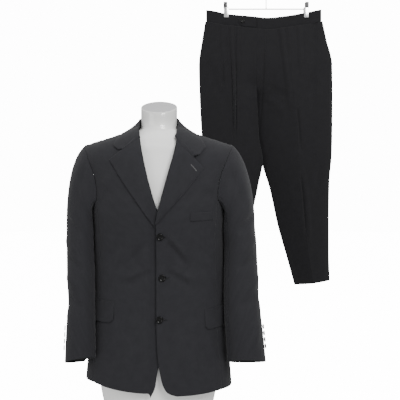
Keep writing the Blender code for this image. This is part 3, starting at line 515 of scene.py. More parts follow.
@dataclass(frozen=True)
class BodyShape:
    """Rounded sections of the jacket's body, with sloping shoulders on top."""

    power: float = 2.4
    ridge_x: float = 0.097
    ridge_z: float = 0.7946
    ridge_fall: float = 0.32
    roll_neck: float = 0.112
    roll_fall: float = 0.24
    shoulder_end: float = 0.214
    neck_x: float = 0.066
    front_seam: float = 0.86
    back_seam: float = 0.88
    armpit_front: float = 0.600
    armpit_back: float = 0.610
    armpit_dip: float = 0.046
    sections: Table = Table(
        "z half_width front back",
        (0.055, 0.212, 0.129, 0.118),
        (0.130, 0.206, 0.124, 0.122),
        (0.200, 0.198, 0.120, 0.124),
        (0.300, 0.193, 0.113, 0.115),
        (0.400, 0.190, 0.111, 0.105),
        (0.500, 0.189, 0.124, 0.112),
        (0.580, 0.194, 0.134, 0.122),
        (0.660, 0.207, 0.128, 0.128),
        (0.720, 0.226, 0.114, 0.126),
        (0.800, 0.238, 0.098, 0.118),
    )
    hole_front: Table = Table(
        "z x", (0.600, 0.0), (0.640, -0.0040), (0.690, -0.0015), (0.730, 0.0050), (0.757, 0.0150)
    )
    hole_back: Table = Table(
        "z x", (0.610, 0.0), (0.650, -0.0030), (0.690, 0.0), (0.730, 0.0040), (0.757, 0.0105)
    )

    def ridge(self, x: float) -> float:
        """Height of the shoulder line."""
        return self.ridge_z - self.ridge_fall * (abs(x) - self.ridge_x)

    def roll(self, x: float) -> float:
        """Height over which the shoulder rolls to the front or back."""
        return self.roll_neck - self.roll_fall * abs(x)

    def half_width(self, z: float) -> float:
        """Half width of the section at a height."""
        return self.sections.get("half_width", z)

    def depth(self, x: float, z: float, face: Face, out: float = 0.0) -> float:
        """World Y of the body's surface.

        Args:
            x: place across.
            z: height.
            face: front or back.
            out: how far the whole form is grown.

        Returns:
            The surface's Y.
        """
        across = min(abs(x) / (self.half_width(z) + out), 1.0)
        deep = self.sections.get(face.name.lower(), z) + out
        deep *= (1 - across**self.power) ** (1 / self.power)
        share = (self.ridge(x) + out - z) / (self.roll(x) + out)
        share = min(max(share, 0.0), 1.0)
        return face.value * max(deep * sqrt(1 - (1 - share) ** 2), SEAM * 0.7)

    def normal(self, x: float, z: float, face: Face) -> Vector:
        """Outward direction of the surface."""
        d = 0.0015
        z = min(z, self.ridge(x) - 2 * d)
        along_x = (self.depth(x + d, z, face) - self.depth(x - d, z, face)) / (2 * d)
        along_z = (self.depth(x, z + d, face) - self.depth(x, z - d, face)) / (2 * d)
        return Vector((-face.value * along_x, face.value, -face.value * along_z)).normalized()

    def on(self, x: float, z: float, face: Face, out: float = 0.0) -> Vector:
        """Point on the surface, moved out along its normal."""
        point = Vector((x, self.depth(x, z, face), z))
        if out:
            point += self.normal(x, z, face) * out
        return point

    def round(self, side: Side, turn: float, z: float, out: float = 0.0) -> Vector:
        """Point of the section at a turn from the front centre."""
        wide = self.half_width(z) + out
        face = "front" if cos(turn) > 0 else "back"
        deep = self.sections.get(face, z) + out
        x = side.value * wide * abs(sin(turn)) ** (2 / self.power)
        y = deep * abs(cos(turn)) ** (2 / self.power)
        return Vector((x, -y if cos(turn) > 0 else y, z))

    def turn_of(self, share: float) -> float:
        """Turn at which the section reaches a share of its half width."""
        return asin(min(share, 1.0) ** (self.power / 2))

    def top_over(self, x: float, y: float, out: float) -> float:
        """Height of the shoulder's surface over a place, moved out."""
        face = "front" if y < 0 else "back"
        z = self.ridge(x)
        for _ in range(4):
            across = min(abs(x) / (self.half_width(z) + out), 1.0)
            deep = (self.sections.get(face, z) + out) * (1 - across**self.power) ** (1 / self.power)
            part = min(abs(y) / deep, 0.999)
            z = self.ridge(x) + out - (self.roll(x) + out) * (1 - sqrt(1 - part * part))
        return z

    def hole_x(self, z: float, face: Face) -> float:
        """Distance of the armhole's edge from the centre."""
        share = self.front_seam if face is Face.FRONT else self.back_seam
        table = self.hole_front if face is Face.FRONT else self.hole_back
        return share * self.half_width(z) + table.get("x", z)

    def hole(self, side: Side, columns: int, off: float) -> list:
        """Points round the armhole from its top forward, evenly spaced.

        Args:
            side: which armhole.
            columns: how many points.
            off: how far outside the body.

        Returns:
            The points.
        """
        steps = 60
        loop = []
        top_front, top_back = self.hole_front.high, self.hole_back.high
        for step in range(steps):
            z = mix(top_front, self.armpit_front, step / steps)
            loop.append(self.on(side.value * self.hole_x(z, Face.FRONT), z, Face.FRONT, off))
        start = self.turn_of(self.front_seam)
        stop = pi - self.turn_of(self.back_seam)
        for step in range(steps + 1):
            u = step / steps
            z = mix(self.armpit_front, self.armpit_back, u) - self.armpit_dip * sin(pi * u)
            loop.append(self.round(side, mix(start, stop, u), z, off))
        for step in range(1, steps):
            z = mix(self.armpit_back, top_back, step / steps)
            loop.append(self.on(side.value * self.hole_x(z, Face.BACK), z, Face.BACK, off))
        loop.append(loop[0].copy())
        lengths = [0.0]
        for a, b in zip(loop, loop[1:]):
            lengths.append(lengths[-1] + (b - a).length)
        points = []
        index = 0
        for column in range(columns):
            goal = lengths[-1] * column / columns
            while lengths[index + 1] < goal:
                index += 1
            t = (goal - lengths[index]) / (lengths[index + 1] - lengths[index])
            points.append(loop[index].lerp(loop[index + 1], t))
        return points

    def clear(self, point: Vector, gap: float) -> Vector:
        """Point moved straight out of the body, to a gap off it."""
        wide = self.half_width(point.z) + gap
        deep = self.sections.get("front" if point.y < 0 else "back", point.z) + gap
        inside = (abs(point.x) / wide) ** self.power + (abs(point.y) / deep) ** self.power
        if inside >= 1:
            return point
        grow = inside ** (-1 / self.power)
        return Vector((point.x * grow, point.y * grow, point.z))


BODY = BodyShape()


@dataclass
class JacketBody:
    """Fronts, side bodies and backs of the jacket."""

    edges: dict = field(default_factory=lambda: {
        Side.LEFT: Table(
            "z x", (0.064, 0.0560), (0.067, 0.0440), (0.073, 0.0310), (0.085, 0.0215), (0.103, 0.0145),
            (0.147, 0.0060), (0.200, 0.0010), (0.300, -0.0013), (0.540, -0.0013), (0.571, 0.0058),
            (0.649, 0.0267), (0.727, 0.0477), (0.790, 0.0630), (0.8045, 0.0660),
        ),
        Side.RIGHT: Table(
            "z x", (0.0590, -0.0165), (0.0680, -0.0120), (0.080, -0.0060), (0.090, -0.0030),
            (0.103, -0.0015), (0.147, 0.0070), (0.200, 0.0250), (0.300, 0.0350), (0.500, 0.0350),
            (0.530, 0.0180), (0.571, 0.0010), (0.6246, -0.0157), (0.691, -0.0334), (0.772, -0.0560),
            (0.8045, -0.0660),
        ),
    })
    hem_side: dict = field(default_factory=lambda: {Side.LEFT: 0.072, Side.RIGHT: 0.092})
    hem_point: dict = field(default_factory=lambda: {Side.LEFT: 0.0, Side.RIGHT: 0.0125})
    hem_point_width: float = 0.09
    hem_back: float = 0.070
    underlap: float = 0.0070
    back_gap: float = SEWN
    side_gap: float = SEWN
    back_neck_drop: float = 0.19
    front_split: float = 0.56
    back_split: float = 0.55
    hem_ease: float = 1.35
    front_folds: dict = field(default_factory=lambda: {
        Side.LEFT: (
            Fold((0.0150, 0.5000), (0.0860, 0.4120), 0.0085, -0.0060, 0.004),
            Fold((0.0230, 0.5060), (0.0900, 0.4260), 0.0070, 0.0044, 0.004),
            Fold((0.0200, 0.4060), (0.0980, 0.3560), 0.0085, -0.0054, 0.005),
            Fold((0.0240, 0.4130), (0.1000, 0.3700), 0.0075, 0.0040, 0.005),
            Fold((0.0300, 0.3860), (0.1350, 0.3900), 0.0100, 0.0016),
            Fold((0.0850, 0.4900), (0.1450, 0.4200), 0.0110, -0.0020, 0.006),
            Fold((0.0350, 0.2640), (0.0950, 0.2250), 0.0110, -0.0016),
            Fold((0.0700, 0.2300), (0.0820, 0.0900), 0.0160, 0.0022, 0.004),
            Fold((0.1250, 0.2250), (0.1420, 0.1000), 0.0150, -0.0022),
            Fold((0.1250, 0.6300), (0.1750, 0.5750), 0.0120, -0.0026, 0.004),
            Fold((0.1150, 0.6900), (0.1500, 0.6200), 0.0140, 0.0018),
        ),
        Side.RIGHT: (
            Fold((-0.0140, 0.4920), (-0.0800, 0.4200), 0.0090, -0.0042, -0.004),
            Fold((-0.0120, 0.4020), (-0.0900, 0.3620), 0.0090, -0.0042, -0.004),
            Fold((-0.0120, 0.4110), (-0.0950, 0.3760), 0.0075, 0.0032, -0.004),
            Fold((-0.0300, 0.3830), (-0.1300, 0.3920), 0.0100, 0.0014),
            Fold((-0.0850, 0.4900), (-0.1420, 0.4250), 0.0110, -0.0018, -0.006),
            Fold((-0.0700, 0.2300), (-0.0760, 0.0950), 0.0160, 0.0020, -0.004),
            Fold((-0.1200, 0.2250), (-0.1360, 0.1050), 0.0150, -0.0022),
            Fold((-0.1250, 0.6300), (-0.1720, 0.5800), 0.0120, -0.0024, -0.004),
            Fold((-0.1150, 0.6900), (-0.1480, 0.6250), 0.0140, 0.0018),
        ),
    })
    back_folds: tuple = (
        Fold((0.0250, 0.4550), (0.1350, 0.4050), 0.0130, -0.0026, 0.006),
        Fold((0.0200, 0.4250), (0.1250, 0.3900), 0.0110, 0.0020, 0.004),
        Fold((0.0450, 0.2600), (0.0650, 0.0900), 0.0170, 0.0024, 0.004),
        Fold((0.1050, 0.2600), (0.1350, 0.1000), 0.0160, -0.0022),
        Fold((0.1150, 0.6700), (0.1600, 0.5750), 0.0130, -0.0028, 0.004),
        Fold((0.0250, 0.7450), (0.1100, 0.7300), 0.0120, -0.0014),
        Fold((0.0750, 0.5900), (0.1450, 0.5100), 0.0140, 0.0016, 0.004),
    )

    def under(self, side: Side, x: float, z: float) -> float:
        """How far the right front lies under the left one."""
        if side is Side.LEFT:
            return 0.0
        return self.underlap * smooth((x + 0.036) / 0.030) * smooth((0.62 - z) / 0.05)

    def front_point(self, side: Side, u: float, v: float) -> Vector:
        """Point of a front: u from its edge to its seam, v from hem to shoulder."""
        edge = self.edges[side]
        if v < self.front_split:
            hem = mix(edge.low + self.hem_point[side], self.hem_side[side], u * u)
            hem -= self.hem_point[side] * max(0.0, 1 - u / self.hem_point_width) ** 2
            z = hem + (BODY.armpit_front - hem) * (v / self.front_split) ** self.hem_ease
            outer = side.value * BODY.front_seam * BODY.half_width(z)
            x = mix(edge.get("x", z), outer, u) - side.value * SEWN * u
        else:
            w = 1 - (1 - (v - self.front_split) / (1 - self.front_split)) ** 2
            inner_z = mix(BODY.armpit_front, BODY.ridge(BODY.neck_x), w)
            outer_z = mix(BODY.armpit_front, BODY.ridge(BODY.shoulder_end), w)
            outer = side.value * BODY.hole_x(outer_z, Face.FRONT)
            x = mix(edge.get("x", inner_z), outer, u) - side.value * SEWN * u
            z = min(mix(inner_z, outer_z, u), BODY.ridge(x))
        point = BODY.on(x, z, Face.FRONT)
        point.y += self.under(side, x, z)
        return point

    def back_point(self, side: Side, u: float, v: float) -> Vector:
        """Point of a back: u from the centre seam to its side seam, v upward."""
        if v < self.back_split:
            z = mix(mix(self.hem_back, self.hem_side[side], smooth(u)), BODY.armpit_back, v / self.back_split)
            x = mix(self.back_gap, BODY.back_seam * BODY.half_width(z) - SEWN, u)
        else:
            w = 1 - (1 - (v - self.back_split) / (1 - self.back_split)) ** 2
            outer_z = mix(BODY.armpit_back, BODY.ridge(BODY.shoulder_end), w)
            x = mix(self.back_gap, BODY.hole_x(outer_z, Face.BACK) - SEWN, u)
            top = BODY.ridge(x)
            if x < BODY.neck_x:
                top -= self.back_neck_drop * sqrt(1 - (x / BODY.neck_x) ** 2) * BODY.roll(x)
            z = mix(BODY.armpit_back, top, w)
        return BODY.on(side.value * x, z, Face.BACK)

    def side_point(self, side: Side, u: float, v: float) -> Vector:
        """Point of a side body: u from front to back, v from hem to armpit."""
        front = BODY.turn_of(BODY.front_seam) + self.side_gap
        back = pi - BODY.turn_of(BODY.back_seam) - self.side_gap
        top = mix(BODY.armpit_front, BODY.armpit_back, u) - BODY.armpit_dip * sin(pi * u)
        return BODY.round(side, mix(front, back, u), mix(self.hem_side[side], top, v))

    def build(self) -> None:
        """Sew the six pieces of the body."""
        for side in Side:
            turned = side is Side.RIGHT
            ClothSheet(
                f"cloth_front_{side.tag}", lambda u, v: self.front_point(side, u, v), 64, 150,
                Finish.JACKET, turned, folds=self.front_folds[side], inner=Finish.LINING,
            ).sew(f"front_{side.tag}")
            ClothSheet(
                f"cloth_side_{side.tag}", lambda u, v: self.side_point(side, u, v), 24, 90,
                Finish.JACKET, turned, inner=Finish.LINING,
            ).sew(f"side_{side.tag}")
            mirrored = tuple(
                Fold((f.start[0] * side.value, f.start[1]), (f.end[0] * side.value, f.end[1]), f.width,
                     f.height * (1.0 if side is Side.LEFT else 0.85), f.lean * side.value)
                for f in self.back_folds
            )
            ClothSheet(
                f"cloth_back_{side.tag}", lambda u, v: self.back_point(side, u, v), 60, 140,
                Finish.JACKET, not turned, folds=mirrored, inner=Finish.LINING,
            ).sew(f"back_{side.tag}")


@dataclass
class Lapels:
    """The turned fronts of the neck opening."""

    body: JacketBody
    lay: float = 0.0009
    stand_off: float = 0.0014
    tables: dict = field(default_factory=lambda: {
        Side.LEFT: Table(
            "fold_z fold_x edge_z edge_x lift",
            (0.534, -0.0035, 0.534, 0.0010, 0.0026),
            (0.571, 0.0038, 0.552, 0.0160, 0.0040),
            (0.630, 0.0190, 0.585, 0.0460, 0.0050),
            (0.690, 0.0355, 0.625, 0.0810, 0.0050),
            (0.735, 0.0475, 0.660, 0.1080, 0.0050),
            (0.765, 0.0530, 0.687, 0.1290, 0.0050),
        ),
        Side.RIGHT: Table(
            "fold_z fold_x edge_z edge_x lift",
            (0.512, 0.0130, 0.512, 0.0070, 0.0004),
            (0.548, 0.0095, 0.537, -0.0130, 0.0006),
            (0.600, -0.0065, 0.575, -0.0400, 0.0022),
            (0.660, -0.0230, 0.620, -0.0720, 0.0045),
            (0.725, -0.0385, 0.668, -0.1040, 0.0050),
            (0.772, -0.0476, 0.711, -0.1300, 0.0050),
        ),
    })

    def point(self, side: Side, u: float, v: float, out: float = 0.0) -> Vector:
        """Point of a lapel: u from its fold to its edge, v from the break up."""
        table = self.tables[side]
        fold_z = mix(table.low, table.high, v)
        x = mix(table.get("fold_x", fold_z), table.get("edge_x", fold_z), u)
        z = mix(fold_z, table.get("edge_z", fold_z), u)
        soft = abs(sin(pi * (0.15 + 0.85 * u)))
        lift = self.lay + table.get("lift", fold_z) * soft + out + self.stand_off * u**4
        place_z = min(z, BODY.ridge(x) - 0.003)
        y = BODY.depth(x, place_z, Face.FRONT) + self.body.under(side, x, z)
        return Vector((x, y, z)) + BODY.normal(x, place_z, Face.FRONT) * (lift + WALL)

    def find(self, side: Side, x: float, z: float, out: float = 0.0003) -> Vector:
        """Point of a lapel nearest to a place seen from the front."""
        best, low, high, span = None, 0.0, 0.0, 0.5
        middle_u, middle_v = 0.5, 0.5
        for _ in range(7):
            for i in range(7):
                for k in range(7):
                    u = min(max(middle_u + span * (i / 3 - 1), 0.0), 1.0)
                    v = min(max(middle_v + span * (k / 3 - 1), 0.0), 1.0)
                    point = self.point(side, u, v, out)
                    off = (point.x - x) ** 2 + (point.z - z) ** 2
                    if best is None or off < best:
                        best, low, high = off, u, v
            middle_u, middle_v, span = low, high, span * 0.45
        return self.point(side, middle_u, middle_v, out)

    def build(self) -> None:
        """Sew both lapels."""
        for side in Side:
            ClothSheet(
                f"cloth_lapel_{side.tag}", lambda u, v: self.point(side, u, v), 30, 90,
                Finish.JACKET, side is Side.RIGHT,
            ).sew(f"lapel_{side.tag}")


@dataclass
class Collar:
    """Collar with its stand, its fold and the leaf that lies on the shoulders."""

    lapels: Lapels
    lift: float = 0.0072
    edge_lift: float = 0.0022
    end_lift: float = 0.08
    turn: float = 0.0040
    backset: float = 0.0080
    tuck: float = 0.35
    gorge_apex: float = 0.63
    gorge_sunk: float = 0.0004
    gorge_deep: float = 0.0014
    gorge_end: dict = field(default_factory=lambda: {Side.LEFT: 0.64, Side.RIGHT: 0.57})
    spread: dict = field(default_factory=lambda: {Side.LEFT: 1.10, Side.RIGHT: 1.0})
    fore: dict = field(default_factory=lambda: {Side.LEFT: 1.15, Side.RIGHT: 0.74})
    table: Table = Table(
        "share fold_x fold_y fold_z edge_x edge_y stand fore",
        (0.00, 0.0000, 0.0790, 0.8480, 0.0000, 0.0930, 0.0340, 0.0),
        (0.20, 0.0310, 0.0700, 0.8470, 0.0400, 0.0850, 0.0330, 0.0),
        (0.40, 0.0535, 0.0420, 0.8420, 0.0760, 0.0560, 0.0290, 0.0),
        (0.60, 0.0600, 0.0020, 0.8315, 0.0970, 0.0080, 0.0220, 0.0),
        (0.80, 0.0570, -0.0400, 0.8070, 0.1100, -0.0370, 0.0150, 0.0),
        (1.00, 0.0500, -0.0830, 0.7760, 0.1230, -0.0830, 0.0080, 0.026),
    )

    def point(self, u: float, v: float) -> Vector:
        """Point of the collar: u along it, v from the stand over the fold."""
        turn = u * 2 - 1
        share = abs(turn)
        side = Side.LEFT if turn >= 0 else Side.RIGHT
        row = {name: curve.at(share) for name, curve in self.table.curves.items()}
        if share > 0.6:
            row["edge_x"] *= mix(1.0, self.spread[side], (share - 0.6) / 0.4)
        fold_x, edge_x = row["fold_x"] * side.value, row["edge_x"] * side.value
        fold = Vector((fold_x, row["fold_y"], 0))
        away = Vector((fold_x, row["fold_y"] - self.backset, 0)).normalized()
        head = row["fold_z"] - 0.0035
        if v < 0.45:
            inner = fold - away * self.turn
            foot = max(row["fold_z"] - row["stand"], BODY.top_over(inner.x, inner.y, 0.002))
            return Vector((inner.x, inner.y, mix(min(foot, head - 0.003), head, v / 0.45)))
        if v < 0.55:
            bow = (v - 0.45) / 0.10
            middle = fold - away * self.turn * (1 + cos(pi * bow)) / 2
            return Vector((middle.x, middle.y, head + 0.0035 * sin(pi * bow)))
        t = (v - 0.55) / 0.45
        x = mix(fold_x, edge_x, t)
        fore = row["fore"] * self.fore[side]
        y = mix(row["fold_y"], row["edge_y"], t) - fore * sin(pi * t**1.5)
        lift = mix(self.lift, self.edge_lift, t * t) + self.end_lift * fore * t
        edge_z = BODY.top_over(edge_x, row["edge_y"], self.edge_lift + self.end_lift * fore)
        over = BODY.top_over(x, y, lift)
        z = mix(head, edge_z, t)
        if fore > 0:
            z = mix(z, over, smooth(t * 5) * min(fore / 0.012, 1.0))
        return Vector((x, y, max(z, over)))

    def gorge_point(self, side: Side, u: float, v: float) -> Vector:
        """Point of the seam turnings between collar and lapel: u across, v from the neck to the notch."""
        above = self.point(1.0 if side is Side.LEFT else 0.0, 0.55 + 0.45 * self.gorge_apex * v)
        below = self.lapels.point(side, self.gorge_end[side] * v, 1.0)
        point = above.lerp(below, mix(-self.tuck, 1 + self.tuck, u))
        sunk = mix(self.gorge_sunk, self.gorge_deep, (2 * u - 1) ** 2)
        return point - BODY.normal(point.x, min(point.z, BODY.ridge(point.x) - 0.003), Face.FRONT) * sunk

    def build(self) -> None:
        """Sew the collar and its seams to the lapels."""
        ClothSheet("cloth_collar", self.point, 150, 60, Finish.JACKET).sew(
            "collar"
        )
        for side in Side:
            ClothSheet(
                f"cloth_gorge_{side.tag}", lambda u, v: self.gorge_point(side, u, v), 12, 50, Finish.JACKET,
                side is Side.LEFT, roll=0.0,
            ).sew(None)


@dataclass
class Sleeve:
    """One sleeve of two pieces, from the armhole down to its cuff buttons."""

    side: Side
    table: Table
    folds: Sequence[Fold]
    cuff_tilt: float = 0.014
    cuff_rise: float = 0.0
    off: float = 0.0004
    gap: float = 0.0060
    cap: float = 0.36
    slit: float = 0.03
    columns: int = 144
    front_seam: tuple = (118.0, 150.0)
    back_seam: tuple = (-75.0, -8.0)
    buttons: int = 4
    button_radius: float = 0.0070
    button_step: float = 0.0180
    button_first: float = 0.034
    button_turn: float = 12.0

    def __post_init__(self) -> None:
        """Lay out the armhole and the sections, from the cuff up."""
        self.ring = BODY.hole(self.side, self.columns, self.off)

    def section(self, z: float, turn: float) -> Vector:
        """Point of the sleeve's section at a turn in degrees from its outside."""
        angle = radians(turn)
        x = self.table.get("x", z) + self.table.get("half_width", z) * cos(angle)
        y = self.table.get("y", z) - self.table.get("half_depth", z) * sin(angle)
        return Vector((self.side.value * x, y, z))

    def at(self, turn: float, v: float) -> Vector:
        """Point of the sleeve: v from the armhole to the cuff."""
        top, foot = self.table.high, self.table.low
        if v < self.cap:
            t = v / self.cap
            place = (turn % 360) / 360 * self.columns
            index = int(place)
            start = self.ring[index % self.columns].lerp(
                self.ring[(index + 1) % self.columns], place - index
            )
            end = self.section(top, turn)
            reach = (end - start).length
            steep = max(cos(radians(turn)), 0.0)
            out = Vector((self.side.value * mix(1.0, 0.72, steep), 0.0, -mix(0.1, 0.62, steep)))
            out = out.normalized() * reach * mix(0.85, 0.78, steep)
            down = Vector((0, 0, -1)) * reach * 0.9
            point = (
                start * ((1 + 2 * t) * (1 - t) ** 2)
                + end * (t * t * (3 - 2 * t))
                + out * (t * (1 - t) ** 2)
                - down * (t * t * (1 - t))
            )
            gap = mix(self.off, self.gap, smooth(t * 1.5))
            return BODY.clear(point, gap) if point.z < BODY.armpit_back else point
        t = (v - self.cap) / (1 - self.cap)
        angle = radians(turn)
        rise = self.cuff_tilt * sin(angle) - self.cuff_rise * cos(angle)
        z = mix(top, foot, t) + rise * t * t
        point = self.section(max(z, foot), turn)
        point.z = z
        return BODY.clear(point, self.gap)

    def seam(self, ends: tuple, v: float) -> float:
        """Turn of a seam at a place along the sleeve."""
        return mix(ends[0], ends[1], v)

    def top_turn(self, u: float, v: float) -> float:
        """Turn of a place on the top piece."""
        return mix(self.seam(self.back_seam, v) + self.slit, self.seam(self.front_seam, v) - self.slit, u)

    def under_turn(self, u: float, v: float) -> float:
        """Turn of a place on the under piece."""
        return mix(
            self.seam(self.front_seam, v) + self.slit, self.seam(self.back_seam, v) + 360 - self.slit, u
        )

    def sew_piece(self, word: str, turn_at: Callable[[float, float], float], across: int) -> None:
        """Sew the top or the under piece.

        Args:
            word: the piece's word in its name.
            turn_at: turn of a place on the piece.
            across: cells across it.
        """
        turned = self.side is Side.RIGHT

        def fold_map(points: np.ndarray, us: np.ndarray, vs: np.ndarray) -> tuple:
            """Turn as a length, and height."""
            turns = np.vectorize(turn_at)(us, vs)
            return turns * 0.00095, points[..., 2]

        ClothSheet(
            f"cloth_sleeve_{word}_{self.side.tag}", lambda u, v: self.at(turn_at(u, v), v), across, 170,
            Finish.JACKET, turned, folds=self.folds, inner=Finish.LINING, fold_map=fold_map,
        ).sew(f"sleeve_{word}_{self.side.tag}")

    def build(self) -> None:
        """Sew both pieces and their cuff buttons."""
        self.sew_piece("top", self.top_turn, 64)
        self.sew_piece("under", self.under_turn, 56)
        for number in range(self.buttons):
            z = 0.156 + self.button_first + number * self.button_step
            v = self.cap + (1 - self.cap) * (self.table.high - z) / (self.table.high - self.table.low)
            here = self.at(self.button_turn, v)
            beside = self.at(self.button_turn + 4, v)
            above = self.at(self.button_turn, v - 0.02)
            normal = (beside - here).cross(above - here).normalized()
            if normal.x * self.side.value < 0:
                normal = -normal
            tag = f"cuff_button_{self.side.tag}_{number + 1}"
            Button(tag, here + normal * 0.0018, normal, self.button_radius, 0.003).build()


DEGREE_ON_SLEEVE = 0.00095

# Creases of each sleeve: degrees round it and z at both ends, width, height, lean
SLEEVE_FOLDS = {
    Side.LEFT: (
        (20, 0.560, 95, 0.500, 0.0110, -0.0050, 0.006),
        (5, 0.500, 100, 0.440, 0.0120, 0.0036, 0.006),
        (20, 0.440, 110, 0.400, 0.0100, -0.0040, 0.006),
        (0, 0.395, 95, 0.345, 0.0120, 0.0032, -0.005),
        (25, 0.330, 115, 0.300, 0.0110, -0.0034, 0.005),
        (30, 0.270, 70, 0.170, 0.0120, 0.0028, 0.004),
        (75, 0.700, 60, 0.560, 0.0120, -0.0030, 0.004),
        (-60, 0.560, -10, 0.470, 0.0130, -0.0040, 0.006),
        (-70, 0.470, 5, 0.390, 0.0130, 0.0034, -0.006),
        (-40, 0.380, 20, 0.300, 0.0120, -0.0032, 0.005),
        (150, 0.480, 260, 0.430, 0.0130, -0.0040, 0.006),
        (160, 0.420, 270, 0.380, 0.0120, 0.0030, 0.006),
        (180, 0.340, 300, 0.290, 0.0120, -0.0030, 0.005),
    ),
    Side.RIGHT: (
        (15, 0.560, 100, 0.490, 0.0110, -0.0048, 0.006),
        (0, 0.490, 95, 0.450, 0.0110, 0.0034, 0.005),
        (25, 0.445, 110, 0.395, 0.0100, -0.0042, 0.006),
        (10, 0.385, 100, 0.355, 0.0110, 0.0036, 0.004),
        (20, 0.340, 115, 0.290, 0.0110, -0.0040, 0.005),
        (10, 0.285, 80, 0.245, 0.0110, 0.0026, 0.004),
        (70, 0.690, 62, 0.560, 0.0120, -0.0026, 0.004),
        (-60, 0.550, -15, 0.460, 0.0130, -0.0038, 0.006),
        (-70, 0.450, 0, 0.380, 0.0130, 0.0032, -0.006),
        (-45, 0.360, 15, 0.290, 0.0120, -0.0032, 0.005),
        (150, 0.470, 260, 0.430, 0.0130, -0.0038, 0.006),
        (170, 0.400, 280, 0.360, 0.0120, 0.0030, 0.006),
    ),
}


def sleeve_folds(side: Side) -> tuple:
    """Creases of a sleeve: place round it as a length, and height."""
    per = DEGREE_ON_SLEEVE
    return tuple(
        Fold((turn_a * per, z_a), (turn_b * per, z_b), width, height, lean)
        for turn_a, z_a, turn_b, z_b, width, height, lean in SLEEVE_FOLDS[side]
    )


LEFT_SLEEVE = Table(
    "z x y half_width half_depth",
    (0.147, 0.2500, -0.0700, 0.0540, 0.0500),
    (0.220, 0.2440, -0.0640, 0.0530, 0.0530),
    (0.282, 0.2385, -0.0560, 0.0520, 0.0560),
    (0.370, 0.2350, -0.0400, 0.0500, 0.0600),
    (0.459, 0.2330, -0.0200, 0.0490, 0.0680),
    (0.530, 0.2250, -0.0080, 0.0520, 0.0760),
)
RIGHT_SLEEVE = Table(
    "z x y half_width half_depth",
    (0.150, 0.2130, -0.0660, 0.0470, 0.0500),
    (0.247, 0.2140, -0.0600, 0.0425, 0.0530),
    (0.314, 0.2130, -0.0520, 0.0400, 0.0560),
    (0.376, 0.2150, -0.0400, 0.0430, 0.0600),
    (0.470, 0.2165, -0.0200, 0.0460, 0.0680),
    (0.530, 0.2150, -0.0080, 0.0500, 0.0760),
)


@dataclass
class Button:
    """Four-hole button turned from horn, with a raised rim and its thread."""

    name: str
    point: Vector
    normal: Vector
    radius: float
    thick: float
    finish: Finish = Finish.HORN

    def build(self) -> bpy.types.Object:
        """Turn the button and stitch it on.

        Returns:
            The finished button.
        """
        radius, thick = self.radius, self.thick
        profile = (
            (0.0, thick * 0.62), (radius * 0.50, thick * 0.62), (radius * 0.62, thick * 0.66),
            (radius * 0.72, thick * 0.92), (radius * 0.79, thick), (radius * 0.87, thick * 0.99),
            (radius * 0.94, thick * 0.90), (radius * 0.985, thick * 0.72), (radius, thick * 0.50),
            (radius * 0.96, thick * 0.20), (radius * 0.84, 0.0), (0.0, 0.0),
        )
        steps = max(16, int(56 * DETAIL))
        turn_to = Vector((0, 0, 1)).rotation_difference(self.normal).to_matrix().to_4x4()
        matrix = Matrix.Translation(self.point) @ turn_to
        mesh = bpy.data.meshes.new("form_" + self.name)
        shape = bmesh.new()
        loops = []
        for wide, high in profile[1:-1]:
            loops.append([
                shape.verts.new((wide * cos(2 * pi * k / steps), wide * sin(2 * pi * k / steps), high))
                for k in range(steps)
            ])
        for upper, lower in zip(loops, loops[1:]):
            for k in range(steps):
                after = (k + 1) % steps
                shape.faces.new((lower[k], lower[after], upper[after], upper[k]))
        shape.faces.new(loops[0])
        shape.faces.new(list(reversed(loops[-1])))
        for face in shape.faces:
            face.smooth = len(face.verts) == 4
        bmesh.ops.transform(shape, matrix=matrix, verts=shape.verts)
        shape.to_mesh(mesh)
        shape.free()
        mesh.materials.append(self.finish.value.make())
        piece = bpy.data.objects.new("form_" + self.name, mesh)
        bpy.context.scene.collection.objects.link(piece)
        keep(piece, self.finish, self.name)
        self.thread(matrix)
        return piece

    def thread(self, matrix: Matrix) -> None:
        """Crossed thread through the four holes.

        Args:
            matrix: the button's place and turn.
        """
        half = self.radius * 0.20
        high = self.thick * 0.62
        for count, (sign, word) in enumerate(((1, "a"), (-1, "b"))):
            line = []
            for step in range(7):
                t = step / 6
                bow = 0.0005 * sin(pi * t) + 0.0002 + 0.0002 * count
                along, across = mix(-half, half, t), mix(-half * sign, half * sign, t)
                line.append(matrix @ Vector((along, across, high + bow)))
            tube(f"thread_{self.name}_{word}", line, 0.00033, Finish.THREAD)


